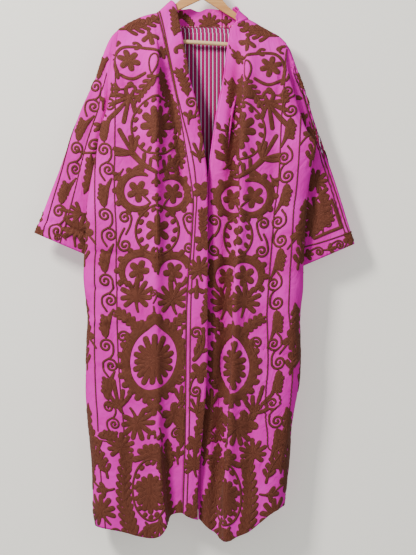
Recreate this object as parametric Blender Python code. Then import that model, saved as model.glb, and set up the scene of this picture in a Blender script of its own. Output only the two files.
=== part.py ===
"""Suzani jacket on a wooden hanger.

A long open coat of embroidered cotton hangs by its shoulders on a flat wooden
hanger. The wearer's right front lies over the left one. Every cut piece is a
cloth wall of its own, made from a sheet of points: sections across the coat at
each height, worked out from the tables below. Lengths in the tables are in
millimetres. X runs to the wearer's left, the front faces -Y, and the origin is
where the hook hangs.
"""
import math

import bmesh
import bpy
import numpy as np
from mathutils import Matrix, Vector

MM = 0.001

CLOTH = 2.2             # outer cotton, wadding stitch and lining together
BAND = 2.8              # the neckband is folded double
LINING = 1.0
LINING_GAP = 0.4        # the lining hangs loose inside the back
SEAM_GAP = 0.3
ARM_COVER = 11.0        # radius of the cloth over the hanger's arm
SHOULDER_FALL = 110.0   # depth below the shoulder where the coat is at its full thickness

HANGER_TILT = math.radians(3.6)
HANGER_THICKNESS = 12.0
BAR_HEIGHT = -224.0
BAR_RADIUS = 5.0
BAR_HALF = 180.7
HOOK_WIRE = 1.8
HOOK_RADIUS = 20.0

# Distances below the shoulder at which the sheets have a row of points, on a
# coat side 1210 long. The row at 310 is the underarm.
COAT_LENGTH = 1210.0
ROWS_ABOVE_UNDERARM = (0, 2.5, 7, 13, 24, 42, 70, 105, 145, 190, 235, 275, 310)
ROWS_BELOW_UNDERARM = (350, 400, 455, 510, 560, 605, 650, 700, 760, 825, 890, 955,
                       1020, 1080, 1135, 1178, 1210)
ROWS = np.array(ROWS_ABOVE_UNDERARM + ROWS_BELOW_UNDERARM) / COAT_LENGTH
UNDERARM = len(ROWS_ABOVE_UNDERARM) - 1


class Table:
    """Rows of sizes under named columns, eased from row to row without overshoot."""

    def __init__(self, columns, *rows):
        ordered = np.array(sorted(rows), dtype=float)
        self.key = ordered[:, 0]
        self.columns = dict(zip(columns.split(), ordered.T))

    def __call__(self, column, at):
        value = self.columns[column]
        step = np.diff(self.key)
        rise = np.diff(value) / step
        slope = np.concatenate(([rise[0]], np.zeros(len(rise) - 1), [rise[-1]]))
        for i in range(1, len(rise)):
            if rise[i - 1] * rise[i] > 0:
                near, far = 2 * step[i] + step[i - 1], step[i] + 2 * step[i - 1]
                slope[i] = (near + far) / (near / rise[i - 1] + far / rise[i])
        at = np.clip(at, self.key[0], self.key[-1])
        i = np.clip(np.searchsorted(self.key, at, side="right") - 1, 0, len(step) - 1)
        t = (at - self.key[i]) / step[i]
        return (value[i] * (1 + 2 * t) * (1 - t) ** 2 + value[i + 1] * t * t * (3 - 2 * t)
                + step[i] * (slope[i] * t * (1 - t) ** 2 - slope[i + 1] * t * t * (1 - t)))


# Outer edge of the coat as the front panel rolls round it, and how far the side
# is tucked in behind that roll, where the sleeve hangs in the tuck.
RIGHT_SIDE = Table(
    "height roll tuck front_y back_y",
    (-190, -207, -6, -14, 12),
    (-240, -215, -4, -22, 14),
    (-300, -226, 2, -28, 16),
    (-376, -236, 13, -31, 17),
    (-443, -256, 25, -33, 18),
    (-500, -265, 31, -33, 18),
    (-574, -280, 37, -32, 18),
    (-640, -289, 38, -30, 18),
    (-715, -290, 34, -28, 17),
    (-760, -295, 22, -24, 15),
    (-795, -297, 10, -20, 12),
    (-850, -292, 2, -16, 9),
    (-900, -286, 0, -14, 8),
    (-952, -289, 0, -14, 8),
    (-1080, -292, 0, -14, 8),
    (-1160, -285, 0, -14, 8),
    (-1268, -275, 0, -15, 8),
    (-1375, -273, 0, -16, 8),
    (-1401, -267, 0, -16, 8),
)
LEFT_SIDE = Table(
    "height roll tuck front_y back_y",
    (-226, 192, -6, -14, 12),
    (-285, 199, -2, -24, 15),
    (-351, 216, 13, -29, 17),
    (-403, 231, 27, -32, 18),
    (-435, 243, 36, -34, 18),
    (-476, 267, 56, -35, 18),
    (-500, 264, 52, -34, 18),
    (-557, 253, 43, -32, 18),
    (-633, 244, 37, -30, 18),
    (-721, 239, 33, -28, 17),
    (-770, 238, 25, -25, 16),
    (-815, 238, 10, -20, 12),
    (-863, 233, 2, -16, 9),
    (-910, 230, 0, -14, 8),
    (-993, 231, 0, -14, 8),
    (-1086, 224, 0, -14, 8),
    (-1130, 213, 0, -14, 8),
    (-1255, 202, 0, -14, 8),
    (-1351, 192, 0, -14, 8),
)

# The wearer's right front: a sharp ridge runs down from the shoulder, and the
# cloth falls back behind it into a foot before the band comes forward again.
RIGHT_FRONT = Table(
    "height plane_y ridge ridge_y foot foot_y seam seam_y edge edge_y",
    (-119, -13, -138, -13, -131, -12, -124, -12, -84.5, -12),
    (-128, -13, -138, -13, -130, -12, -123, -12, -74.5, -12.5),
    (-150, -14, -136, -15, -128, -13, -119, -13, -69, -13.5),
    (-178, -17, -128, -20, -120, -15, -111.5, -15, -62.5, -15),
    (-209, -22, -121, -28, -112, -20, -104, -17, -56.5, -16.5),
    (-240, -27, -118, -36, -107, -24, -97, -20, -51, -18),
    (-273, -31, -116.5, -42, -101, -27, -90, -23, -44.5, -20),
    (-324, -35, -116.5, -47, -92, -29, -79, -26, -35.5, -23),
    (-378, -38, -116.5, -51, -82, -30, -67.5, -28, -20, -25),
    (-459, -41, -116.5, -54, -70, -31, -54, -31, -7, -29),
    (-557, -43, -116.5, -56, -57, -33, -38, -34, 4.5, -34),
    (-606, -44, -116.5, -56, -53, -34, -31, -36, 5, -37),
    (-709, -44, -116.5, -56, -57, -36, -35.5, -39, 6, -40),
    (-851, -44, -116.5, -55, -66, -38, -46.5, -41, 5, -42),
    (-973, -45, -116, -54, -69, -38, -49, -41, 5.5, -42),
    (-1096, -46, -113, -54, -71, -36, -50, -39, -0.5, -41),
    (-1218, -47, -107, -55, -73, -31, -52, -35, -11, -38),
    (-1316, -48, -100, -56, -77, -27, -55, -31, -19, -36),
    (-1390, -48, -95, -56, -80, -24, -57, -28, -18.5, -34),
    (-1430, -48, -94, -56, -80, -23, -57, -27, -18.5, -33),
)
# The wearer's left front has its ridge further in, over a deeper fold that runs
# in under the other front. Its seam with the band is the edge of the neckline.
LEFT_FRONT = Table(
    "height plane_y ridge ridge_y foot_y seam seam_y",
    (-164.5, -14, 120, -14, -13, 102, -12),
    (-170, -15, 115, -15, -13, 91, -12),
    (-176, -16, 111.5, -17, -13.5, 75, -12.5),
    (-182, -17, 108, -19, -14, 64.5, -13),
    (-194, -19, 104, -23, -14.5, 60.5, -14),
    (-228, -25, 101.5, -34, -17, 54, -15.5),
    (-268, -32, 101, -43, -19, 48, -17),
    (-320, -38, 97, -49, -20.5, 42, -18.5),
    (-371, -42, 93, -53, -21.5, 30.5, -20),
    (-447, -45, 90, -56, -22, 18.5, -21),
    (-557, -47, 84.5, -57, -23, 5, -22),
    (-679, -47, 76, -57, -24, -2, -22.5),
    (-841, -46, 67, -57, -24.5, -5, -22.5),
    (-973, -46, 63, -56, -25, -6, -22.5),
    (-1064, -46, 57.5, -55, -25, -8.5, -22.5),
    (-1130, -46, 51.5, -55, -25, -11.5, -22.5),
    (-1218, -46, 49, -55, -25, -16, -22),
    (-1316, -46, 46, -55, -26, -18, -22),
    (-1434, -46, 46, -55, -29, -16, -22),
)
BACK_PLANE = Table(
    "height y",
    (-190, 12), (-240, 17), (-300, 20), (-400, 22), (-700, 23), (-1000, 25), (-1400, 25),
)
# Soft folds of the back panel, which hangs near a wall.
BACK_FOLDS = Table(
    "x depth half_width start",
    (-205, 5, 24, -520),
    (-128, 8, 30, -260),
    (-34, 5, 26, -420),
    (52, 8, 34, -300),
    (132, 6, 26, -380),
)

SHOULDER = Table(
    "x height",
    (-214, -190.7), (-198, -181), (-177, -169.5), (-152, -158.5), (-119, -150.5),
    (-102, -135), (-84.5, -119.7),
)
LEFT_SHOULDER = Table(
    "x height",
    (102, -164.5), (121, -174.5), (141, -187), (163, -198.6), (182, -209.8), (198.5, -226),
)
RIGHT_HEM = Table(
    "x height",
    (-267, -1401), (-227, -1407), (-178, -1417), (-135, -1428), (-112, -1423), (-95, -1403),
    (-86, -1376), (-60, -1368), (-43, -1378), (-18, -1385),
)
LEFT_HEM = Table(
    "x height",
    (-16, -1385), (3, -1403), (27, -1420), (37, -1432), (50, -1435), (84, -1419),
    (109, -1410), (136, -1387), (153, -1373), (192, -1350),
)
BACK_HEM = Table(
    "x height",
    (-266, -1401), (-235, -1388), (-150, -1376), (0, -1366), (110, -1366), (165, -1374),
    (191, -1350),
)

# The neckline from the right neck point round the back to the left one: where
# the band is sewn on, and its free edge, which stands up behind the hanger.
NECK = Table(
    "step seam_x seam_y seam_z edge_x edge_y edge_z",
    (0, -119, 0, -150.5, -84.5, 0, -119.7),
    (1, -115, 9, -151.5, -80, 8, -123),
    (2, -104, 14, -160, -75, 13, -130),
    (3, -84, 18, -176, -67, 17, -138),
    (4, -60, 20, -183, -56, 18.5, -140),
    (5, -36, 21, -184, -36, 19.5, -138.5),
    (6, -17, 21.5, -184, -17, 20, -145.5),
    (7, 2, 21.5, -184, 1, 20, -139),
    (8, 33, 21, -184.5, 31, 19.5, -141),
    (9, 64, 19, -186, 57.5, 18, -147),
    (10, 86, 14.5, -178, 64, 14, -143),
    (11, 98.5, 9, -166, 66.5, 8, -138.5),
    (12, 102, 0, -164.5, 67.5, 0, -136),
)
# How the left band turns in behind the neckline: 0 is open and 1 folded back,
# for the rows from the neck point down, with its free edge set off from the seam.
LEFT_TURN = Table(
    "row turn edge_x edge_y edge_z",
    (0, 0, -34.5, 0, 28.5),
    (1, 0, -26, 0, 31),
    (2, 0.05, -9, 0, 30),
    (3, 0.3, 0, -1, 15),
    (4, 0.9, 24, 8, 8),
    (5, 1, 34, 7.4, 3),
    (6, 1, 39, 7.4, 0),
    (29, 1, 39, 7.4, 0),
)
TURN_RADIUS = 3.2
TURNED_BAND = 1.98      # pressed a little thinner than the front's cloth
TURNED_BAND_GAP = 0.45  # from the front's edge to the band's
# Rings of each sleeve after the armhole: the outer fold, seen as its outline,
# and the height of the fold that hangs in the tuck of the coat's side.
RIGHT_SLEEVE = Table(
    "ring top_x top_z under_z",
    (1, -223, -201, -507),
    (2, -234, -216, -518),
    (3, -247, -245, -534),
    (4, -267, -306, -556),
    (5, -286, -348, -579),
    (6, -304, -388, -602),
    (7, -322, -437, -627),
    (8, -338, -482, -652),
    (9, -354, -528, -677),
    (10, -379, -592, -704),
    (11, -402, -652, -730),
    (12, -418, -688, -747),
)
LEFT_SLEEVE = Table(
    "ring top_x top_z under_z",
    (1, 205, -238, -522),
    (2, 213, -258, -533),
    (3, 222, -284, -549),
    (4, 236, -320, -571),
    (5, 248, -356, -594),
    (6, 260, -398, -617),
    (7, 275, -444, -642),
    (8, 292, -494, -668),
    (9, 311, -548, -694),
    (10, 328, -600, -722),
    (11, 346, -658, -750),
    (12, 364, -715, -774),
)
SLEEVE_THICKNESS = 23.0
SLEEVE_MIDDLE_Y = -3.0
SLEEVE_FLATNESS = 0.74      # how much flatter a sleeve is than its armhole, just past it
UNDERARM_CLEARANCE = 6.0    # from the sleeve's lower fold to the side seam, at the armhole
SLEEVE_CLEARANCE = 13.0     # and further down the tuck
ARMHOLE_GAP = 0.9
ARMHOLE_SWELL_FRONT = 9.0   # how far the armhole stands open beyond the hanger's arm
ARMHOLE_SWELL_BACK = 3.0
ARMHOLE_CLOSES = 0.68       # the part of its height where it starts to close underneath
UNDERARM_Y = -2.0


def smooth(value):
    value = np.clip(value, 0, 1)
    return value * value * (3 - 2 * value)


def mix(start, end, part):
    return start + (end - start) * part


def arc(depth):
    """Half breadth of the cloth over the hanger's round top, this far below it."""
    return ARM_COVER * np.sqrt(1 - (1 - np.clip(depth / ARM_COVER, 0, 1)) ** 2)


def armhole(side, height, back):
    """Depth of the armhole's front or back edge, down to the side seam under it."""
    down = np.clip((side.key[-1] - height) / (COAT_LENGTH * ROWS[UNDERARM]), 0, 1)
    closing = smooth((down - ARMHOLE_CLOSES) / (1 - ARMHOLE_CLOSES))
    swell = np.sin(math.pi * down)
    if back:
        return mix(ARM_COVER + ARMHOLE_SWELL_BACK * swell, UNDERARM_Y + SEAM_GAP, closing)
    return mix(-ARM_COVER - ARMHOLE_SWELL_FRONT * swell, UNDERARM_Y, closing)


def side_stations(side, out, height, plane_y, back=False):
    """Seam, tuck, roll and turn of a panel's outer edge, from the seam inwards."""
    roll, tuck = side("roll", height), side("tuck", height)
    roll_y = side("back_y" if back else "front_y", height)
    seam_y = armhole(side, height, back)
    slack = np.minimum(1.5, 0.3 * tuck) + 0.06 * tuck if back else 0.0
    return [
        (roll - out * (tuck + 1 + slack * 0.2), seam_y),
        (roll - out * (0.55 * tuck + 0.3 + slack), mix(seam_y, roll_y, 0.6)),
        (roll - out * slack, roll_y),
        (roll - out * (14 + slack), mix(roll_y, plane_y, 0.75)),
    ]


def right_front_stations(height):
    """Stations of the right front and its band, from the side seam to the free edge."""
    def size(column):
        return RIGHT_FRONT(column, height)
    plane_y, ridge, ridge_y = size("plane_y"), size("ridge"), size("ridge_y")
    roll = RIGHT_SIDE("roll", height)
    near = np.minimum(26, 0.3 * (ridge - roll))
    return side_stations(RIGHT_SIDE, -1, height, plane_y) + [
        (mix(roll, ridge, 0.4), plane_y),
        (ridge - near, mix(plane_y, ridge_y, 0.55)),
        (ridge, ridge_y),
        (mix(ridge, size("foot"), 0.3), mix(ridge_y, size("foot_y"), 0.55)),
        (size("foot"), size("foot_y")),
        (size("seam"), size("seam_y")),
        (mix(size("seam"), size("edge"), 0.5), mix(size("seam_y"), size("edge_y"), 0.5) - 2),
        (size("edge"), size("edge_y")),
    ]


def left_front_stations(height):
    """Stations of the left front, from the side seam to the neckline."""
    def size(column):
        return LEFT_FRONT(column, height)
    plane_y, ridge, ridge_y = size("plane_y"), size("ridge"), size("ridge_y")
    roll, seam = LEFT_SIDE("roll", height), size("seam")
    foot = np.maximum(ridge - 19, mix(seam, ridge, 0.45))
    near = np.minimum(26, 0.3 * (roll - ridge))
    return side_stations(LEFT_SIDE, 1, height, plane_y) + [
        (mix(roll, ridge, 0.4), plane_y),
        (ridge + near, mix(plane_y, ridge_y, 0.55)),
        (ridge, ridge_y),
        (mix(ridge, foot, 0.35), mix(ridge_y, size("foot_y"), 0.55)),
        (foot, size("foot_y")),
        (mix(foot, seam, 0.5), mix(size("foot_y"), size("seam_y"), 0.3) - 1),
        (seam, size("seam_y")),
    ]


def along(stations, span, part):
    """Point on the smooth curve through the stations, at a part of one span."""
    points = [np.stack(np.broadcast_arrays(*p), axis=-1) for p in stations]
    start, end = points[span], points[span + 1]
    before = points[max(span - 1, 0)]
    after = points[min(span + 2, len(points) - 1)]

    def length(a, b):
        return np.linalg.norm(b - a, axis=-1, keepdims=True) + 1e-6
    one, two, three = length(before, start), length(start, end), length(end, after)
    leave = (start - before) / one * two + (end - start) / two * one
    leave = (end - start) if span == 0 else leave / (one + two) * two
    reach = (end - start) / two * three + (after - end) / three * two
    reach = (end - start) if span == len(points) - 2 else reach / (two + three) * two
    t = part
    return (start * (1 + 2 * t) * (1 - t) ** 2 + end * t * t * (3 - 2 * t)
            + leave * t * (1 - t) ** 2 - reach * t * t * (1 - t))


def columns(spans):
    """(span, part) of each column of points, for a number of columns in each span."""
    listed = [(span, k / count) for span, count in enumerate(spans) for k in range(count)]
    return listed + [(len(spans) - 1, 1.0)]


def front_sheet(stations, places, shoulder, hem, seam_height, hem_height):
    """Rows and columns of points on a front, from the shoulder seam to the hem."""
    sheet = np.zeros((len(ROWS), len(places), 3))
    for c, (span, part) in enumerate(places):
        top, low = np.array(seam_height, float), np.array(hem_height, float)
        if c:
            for _ in range(12):
                top = shoulder("height", along(stations(top), span, part)[0])
                low = hem("height", along(stations(low), span, part)[0])
        height = mix(top, low, ROWS)
        flat = along(stations(height), span, part)
        depth = top - height
        cover = arc(depth)
        fullness = smooth(depth / SHOULDER_FALL)
        sheet[:, c, 0] = flat[:, 0]
        sheet[:, c, 1] = -mix(cover, np.maximum(-flat[:, 1], 0), fullness) - SEAM_GAP / 2
        sheet[:, c, 2] = height
    return sheet


def normals(sheet, closed=False):
    """Unit normals of a sheet of points, from the points around each one."""
    if closed:
        ring = np.concatenate((sheet[:, -1:], sheet, sheet[:, :1]), axis=1)
        across = (ring[:, 2:] - ring[:, :-2])
    else:
        across = np.gradient(sheet, axis=1)
    down = np.gradient(sheet, axis=0)
    normal = np.cross(across, down)
    return normal / np.linalg.norm(normal, axis=-1, keepdims=True)


def cloth(name, outer, inner, material, closed=False):
    """A wall between an outer and an inner sheet of points, as one closed solid."""
    rows, count = outer.shape[:2]
    bm = bmesh.new()
    skins = [[[bm.verts.new(Vector(p) * MM) for p in row] for row in sheet]
             for sheet in (outer, inner)]
    last = count if closed else count - 1
    for r in range(rows - 1):
        for c in range(last):
            after = (c + 1) % count
            for skin in skins:
                bm.faces.new((skin[r][c], skin[r][after], skin[r + 1][after], skin[r + 1][c]))
    out, back = skins
    for r in (0, rows - 1):
        for c in range(last):
            after = (c + 1) % count
            bm.faces.new((out[r][c], out[r][after], back[r][after], back[r][c]))
    if not closed:
        for c in (0, count - 1):
            for r in range(rows - 1):
                bm.faces.new((out[r][c], out[r + 1][c], back[r + 1][c], back[r][c]))
    return finish(name, bm, material)


def finish(name, bm, material, sharp=35):
    bmesh.ops.recalc_face_normals(bm, faces=bm.faces)
    mesh = bpy.data.meshes.new(name)
    bm.to_mesh(mesh)
    bm.free()
    mesh.shade_smooth()
    mesh.set_sharp_from_angle(angle=math.radians(sharp))
    mesh.materials.append(material)
    piece = bpy.data.objects.new(name, mesh)
    bpy.context.scene.collection.objects.link(piece)
    return piece


def paint(name, colour, roughness, metallic=0.0):
    material = bpy.data.materials.new(name)
    material.use_nodes = True
    shader = material.node_tree.nodes["Principled BSDF"]
    shader.inputs["Base Color"].default_value = (*colour, 1)
    shader.inputs["Roughness"].default_value = roughness
    shader.inputs["Metallic"].default_value = metallic
    return material


def build_right_front(material):
    """The right front and its band share one sheet, parted at the band's seam."""
    spans = (2, 1, 2, 2, 2, 2, 2, 2, 2)
    band_spans = (2, 1)
    places = columns(spans + band_spans)
    sheet = front_sheet(right_front_stations, places, SHOULDER, RIGHT_HEM,
                        SHOULDER("height", -214), RIGHT_HEM("height", -267))
    normal = normals(sheet)
    seam = sum(spans)
    across = sheet[:, seam + 1] - sheet[:, seam - 1]
    across /= np.linalg.norm(across, axis=-1, keepdims=True)
    for name, part, shift, wall in (("front_right", slice(0, seam + 1), -1, CLOTH),
                                    ("band_right", slice(seam, None), 1, BAND)):
        outer = sheet[:, part].copy()
        outer[:, -1 if shift < 0 else 0] += shift * across * SEAM_GAP / 2
        inner = outer + normal[:, part] * wall
        inner[0, :, 1] = np.minimum(inner[0, :, 1], -SEAM_GAP / 2)
        if shift < 0:
            inner[:, 0, 1] = np.minimum(inner[:, 0, 1], outer[:, 0, 1])
        cloth(name, outer, inner, material)
    return sheet[:, 0]


def build_left_front(material):
    spans = (2, 1, 2, 2, 2, 2, 2, 2, 1, 1)
    places = columns(spans)
    sheet = front_sheet(left_front_stations, places, LEFT_SHOULDER, LEFT_HEM,
                        LEFT_SHOULDER("height", 198.5), LEFT_HEM("height", 192))
    sheet[:, -1, 0] += TURN_RADIUS
    normal = normals(sheet)
    inner = sheet - normal * CLOTH
    inner[0, :, 1] = np.minimum(inner[0, :, 1], -SEAM_GAP / 2)
    inner[:, 0, 1] = np.minimum(inner[:, 0, 1], sheet[:, 0, 1])
    cloth("front_left", sheet, inner, material)
    build_left_band(sheet[:, -1], normal[:, -1], material)
    return sheet[:, 0]


def build_left_band(seam, wall, material):
    """The left band is turned in along its seam and lies behind the front."""
    row = np.arange(len(seam))
    across = np.cross(wall, np.gradient(seam, axis=0))
    across /= np.linalg.norm(across, axis=-1, keepdims=True)
    start = seam - across * TURNED_BAND_GAP
    turn = LEFT_TURN("turn", row)[:, None]
    edge = np.stack([LEFT_TURN(f"edge_{axis}", row) for axis in "xyz"], axis=-1)
    path = [0 * edge]
    for k in range(1, 5):
        angle = math.radians(45 * k)
        folded = np.array((-math.sin(angle), 1 - math.cos(angle), 0)) * TURN_RADIUS
        path.append(mix(edge * k / 16, folded, turn))
    path += [mix(path[-1], edge, 0.5), edge]
    outer = start[:, None] + np.stack(path, axis=1)
    inner = outer - normals(outer) * TURNED_BAND
    inner[:, 0] = outer[:, 0] - wall * TURNED_BAND
    for skin in (outer, inner):
        skin[:2, :, 1] = np.minimum(skin[:2, :, 1], -SEAM_GAP / 2)
    cloth("band_left", outer, inner, material)


def neck_line(point, gap=0.0):
    steps = NECK.key
    line = np.stack([NECK(f"{point}_{axis}", steps) for axis in "xyz"], axis=-1)
    line[:, 2] += gap
    line[[0, -1], 1] = SEAM_GAP / 2
    return line


def neck_wall_direction():
    """From the outside of the cloth to its inside, along the neck seam."""
    upright = np.clip(NECK("seam_y", NECK.key) / 19, 0, 1)
    direction = np.stack((0 * upright, -upright, upright - 1), axis=-1)
    return direction / np.linalg.norm(direction, axis=-1, keepdims=True)


def build_back_band(material):
    seam, edge = neck_line("seam"), neck_line("edge")
    outer = np.stack((seam, mix(seam, edge, 0.5) + np.array((0, 1.5, 0)), edge), axis=0)
    inner = outer + normals(outer) * BAND
    inner[0] = seam + neck_wall_direction() * BAND
    inner[:, [0, -1], 1] = np.maximum(inner[:, [0, -1], 1], SEAM_GAP / 2)
    cloth("band_back", outer, inner, material)


def back_relief(x, height):
    depth = 0.0
    for fold_x, deep, wide, start in zip(*(BACK_FOLDS.columns[c] for c in
                                           ("x", "depth", "half_width", "start"))):
        reach = smooth((start - height) / 260)
        depth = depth + deep * reach * np.exp(-((x - fold_x) / wide) ** 2)
    return depth


def build_back(material, lining_material):
    """The back panel from side seam to side seam, and its lining inside it."""
    seam = neck_line("seam", -SEAM_GAP)
    right_top = [(x, 0, float(SHOULDER("height", x))) for x in (-180, -150)]
    left_top = [(x, 0, float(LEFT_SHOULDER("height", x))) for x in (130, 160)]
    tops = np.array(right_top + [tuple(p) for p in seam] + left_top)
    middle = len(tops)
    even = np.linspace(0, 1, middle + 2)[1:-1]
    count = middle + 8
    sheet = np.zeros((len(ROWS), count, 3))

    def fill(c, top, low, top_y, place):
        height = mix(top, low, ROWS)
        depth = top - height
        x, y = place(height)
        cover = np.maximum(arc(depth), top_y)
        y = mix(cover, y, smooth(depth / SHOULDER_FALL)) + SEAM_GAP / 2
        sheet[:, c] = np.stack((x, y, height), axis=-1)

    def plane(height, x):
        return BACK_PLANE("y", height) + back_relief(x, height)

    for side, out, first, shoulder, corner in (
            (RIGHT_SIDE, -1, 0, SHOULDER, -214), (LEFT_SIDE, 1, count - 1, LEFT_SHOULDER, 198.5)):
        seam_top = float(shoulder("height", corner))
        seam_low = float(BACK_HEM("height", -266 if out < 0 else 191))
        for k in range(4):
            def place(height, k=k):
                turn_x = side("roll", height) - out * 16
                x, y = side_stations(side, out, height, plane(height, turn_x), back=True)[k]
                return x, y
            top, low = seam_top, seam_low
            if k:
                for _ in range(8):
                    top = shoulder("height", place(np.array(top))[0])
                    low = BACK_HEM("height", place(np.array(low))[0])
            fill(first - out * k, top, low, 0.0, place)
    for k, (top_x, top_y, top) in enumerate(tops):
        def place(height):
            spread = smooth((top - height) / 420)
            right = RIGHT_SIDE("roll", height) + 26
            left = LEFT_SIDE("roll", height) - 26
            x = mix(top_x, mix(right, left, even[k]), spread)
            return x, plane(height, x)
        low = -1370.0
        for _ in range(8):
            low = float(BACK_HEM("height", place(np.array(low))[0]))
        fill(k + 4, top, low, top_y, place)
    normal = normals(sheet)
    inner = sheet - normal * CLOTH
    line = slice(6, 6 + len(seam))
    inner[0, line] = sheet[0, line] + neck_wall_direction() * CLOTH
    shoulders = [c for c in range(count) if c < line.start or c >= line.stop]
    inner[0, shoulders, 1] = np.maximum(inner[0, shoulders, 1], SEAM_GAP / 2)
    for c in (0, count - 1):
        inner[:, c, 1] = np.maximum(inner[:, c, 1], sheet[:, c, 1])
    cloth("back", sheet, inner, material)
    build_lining(inner, normal, lining_material)
    return sheet[:, 0], sheet[:, -1]


def build_lining(back_inner, normal, material):
    """The striped lining of the back, from the neck seam to above the hem."""
    rows, line = slice(3, len(ROWS) - 1), slice(4, back_inner.shape[1] - 4)
    near = back_inner[rows, line] - normal[rows, line] * LINING_GAP
    cloth("back_lining", near, near - normal[rows, line] * LINING, material)


def build_sleeve(name, out, side, rings, front_edge, back_edge, material):
    """A flat tube from the armhole to the open cuff, its lower fold in the tuck."""
    count = UNDERARM
    front, back = front_edge[:count + 1], back_edge[:count + 1]
    hole = np.concatenate((front, back[-2:0:-1]))
    share = np.arange(2 * count) / (2 * count)
    turn = 2 * math.pi * share
    drop = np.concatenate((ROWS[:count + 1], ROWS[count - 1:0:-1])) / ROWS[count]
    sheet = [hole]
    for ring in rings.key:
        top = np.array((rings("top_x", ring), SLEEVE_MIDDLE_Y, rings("top_z", ring)))
        under_z = rings("under_z", ring)
        seam_x = side("roll", under_z) - out * (side("tuck", under_z) + 1)
        clear = mix(UNDERARM_CLEARANCE, SLEEVE_CLEARANCE, smooth(ring - 1))
        under = np.array((seam_x + out * clear, SLEEVE_MIDDLE_Y, under_z))
        even = smooth(ring / 4)
        down = mix(drop, (1 - np.cos(turn)) / 2, even)
        thick = np.sin(turn) * mix(0.75, 1.0, smooth(ring / 3)) * SLEEVE_THICKNESS / 2
        points = top + (under - top) * down[:, None]
        early = 1 - smooth(ring / 3)
        points[:, 1] = mix(SLEEVE_MIDDLE_Y - thick, hole[:, 1] * SLEEVE_FLATNESS, early)
        straight = mix(hole[0], hole[count], drop[:, None])
        points[:, 0] += early * (hole - straight)[:, 0]
        sheet.append(points)
    outer = np.array(sheet)
    step = outer[1] - outer[0]
    outer[0] = hole + step / np.linalg.norm(step, axis=-1, keepdims=True) * ARMHOLE_GAP
    inner = outer - normals(outer, closed=True) * CLOTH * out
    inner[0, :, 0] = out * np.maximum(out * inner[0, :, 0], out * outer[0, :, 0])
    cloth(name, outer, inner, material, closed=True)


HANGER_TOP = Table(
    "x height",
    (0, -66), (12, -68), (25, -82), (36, -99), (48.5, -116.5), (62, -131), (74, -140),
    (92, -152.5), (117, -168), (160, -191), (190, -208), (196, -214),
)


def tilted(piece):
    piece.matrix_world = Matrix.Rotation(HANGER_TILT, 4, "Y")
    return piece


def build_hanger(wood, bar_wood, steel):
    """Flat wooden arms with a notch of wood at each end for the round bar."""
    low = -117.5
    slope = 0.55
    top_x = (0, 6, 12, 18, 25, 36, 48.5, 62, 74, 92, 117, 140, 160, 176, 190, 196)
    half = [(x, float(HANGER_TOP("height", x))) for x in top_x]
    half += [(196, -224), (192, -231), (184, -232), (181, -229), (181, low - slope * 181)]
    half += [(x, low - slope * x) for x in (120, 60)]
    outline = half + [(0, low)] + [(-x, z) for x, z in reversed(half[1:])]
    bm = bmesh.new()
    verts = [bm.verts.new((x * MM, -HANGER_THICKNESS / 2 * MM, z * MM)) for x, z in outline]
    face = bm.faces.new(verts)
    made = bmesh.ops.extrude_face_region(bm, geom=[face])
    moved = [v for v in made["geom"] if isinstance(v, bmesh.types.BMVert)]
    bmesh.ops.translate(bm, verts=moved, vec=(0, HANGER_THICKNESS * MM, 0))
    rims = [e for e in bm.edges if abs(e.verts[0].co.y - e.verts[1].co.y) < 1e-6]
    bmesh.ops.bevel(bm, geom=rims, offset=1.6 * MM, segments=2, profile=0.5, affect="EDGES",
                    material=-1)
    tilted(finish("hanger_wood", bm, wood))

    bm = bmesh.new()
    bmesh.ops.create_cone(bm, cap_ends=True, segments=16, radius1=BAR_RADIUS * MM,
                          radius2=BAR_RADIUS * MM, depth=2 * BAR_HALF * MM)
    bmesh.ops.rotate(bm, verts=bm.verts, matrix=Matrix.Rotation(math.pi / 2, 3, "Y"))
    bmesh.ops.translate(bm, verts=bm.verts, vec=(0, 0, BAR_HEIGHT * MM))
    tilted(finish("hanger_bar", bm, bar_wood))
    build_hook(steel)


def build_hook(steel):
    """A bent wire: a round crook over the hanging point, then the shank below it."""
    centre = -HOOK_RADIUS
    bend = HOOK_RADIUS + HOOK_WIRE
    crook = [(bend * math.cos(math.radians(a)), centre + bend * math.sin(math.radians(a)))
             for a in range(200, -61, -10)]
    shank = [(6.2, -43), (1.6, -48), (0, -54), (0, -60), (0, -65.7)]
    wire = bpy.data.curves.new("hanger_hook", "CURVE")
    wire.dimensions = "3D"
    wire.bevel_depth = HOOK_WIRE * MM
    wire.bevel_resolution = 2
    wire.use_fill_caps = True
    line = wire.splines.new("POLY")
    line.points.add(len(crook) + len(shank) - 1)
    for point, (x, z) in zip(line.points, crook + shank):
        point.co = (x * MM, 0, z * MM, 1)
    wire.materials.append(steel)
    hook = bpy.data.objects.new("hanger_hook", wire)
    bpy.context.scene.collection.objects.link(hook)
    tilted(hook)


for old in list(bpy.data.objects):
    bpy.data.objects.remove(old, do_unlink=True)

pink_cotton = paint("pink_cotton", (0.74, 0.09, 0.54), 0.85)
striped_lining = paint("striped_lining", (0.45, 0.02, 0.16), 0.8)
beech = paint("beech", (0.68, 0.38, 0.16), 0.5)
pale_beech = paint("pale_beech", (0.69, 0.51, 0.28), 0.5)
bright_steel = paint("bright_steel", (0.6, 0.6, 0.6), 0.25, 1.0)

right_front_edge = build_right_front(pink_cotton)
left_front_edge = build_left_front(pink_cotton)
right_back_edge, left_back_edge = build_back(pink_cotton, striped_lining)
build_back_band(pink_cotton)
build_sleeve("sleeve_right", -1, RIGHT_SIDE, RIGHT_SLEEVE, right_front_edge, right_back_edge,
             pink_cotton)
build_sleeve("sleeve_left", 1, LEFT_SIDE, LEFT_SLEEVE, left_front_edge, left_back_edge,
             pink_cotton)
build_hanger(beech, pale_beech, bright_steel)
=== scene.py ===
import math

import bmesh
import bpy
import numpy as np
from mathutils import Matrix, Vector


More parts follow.
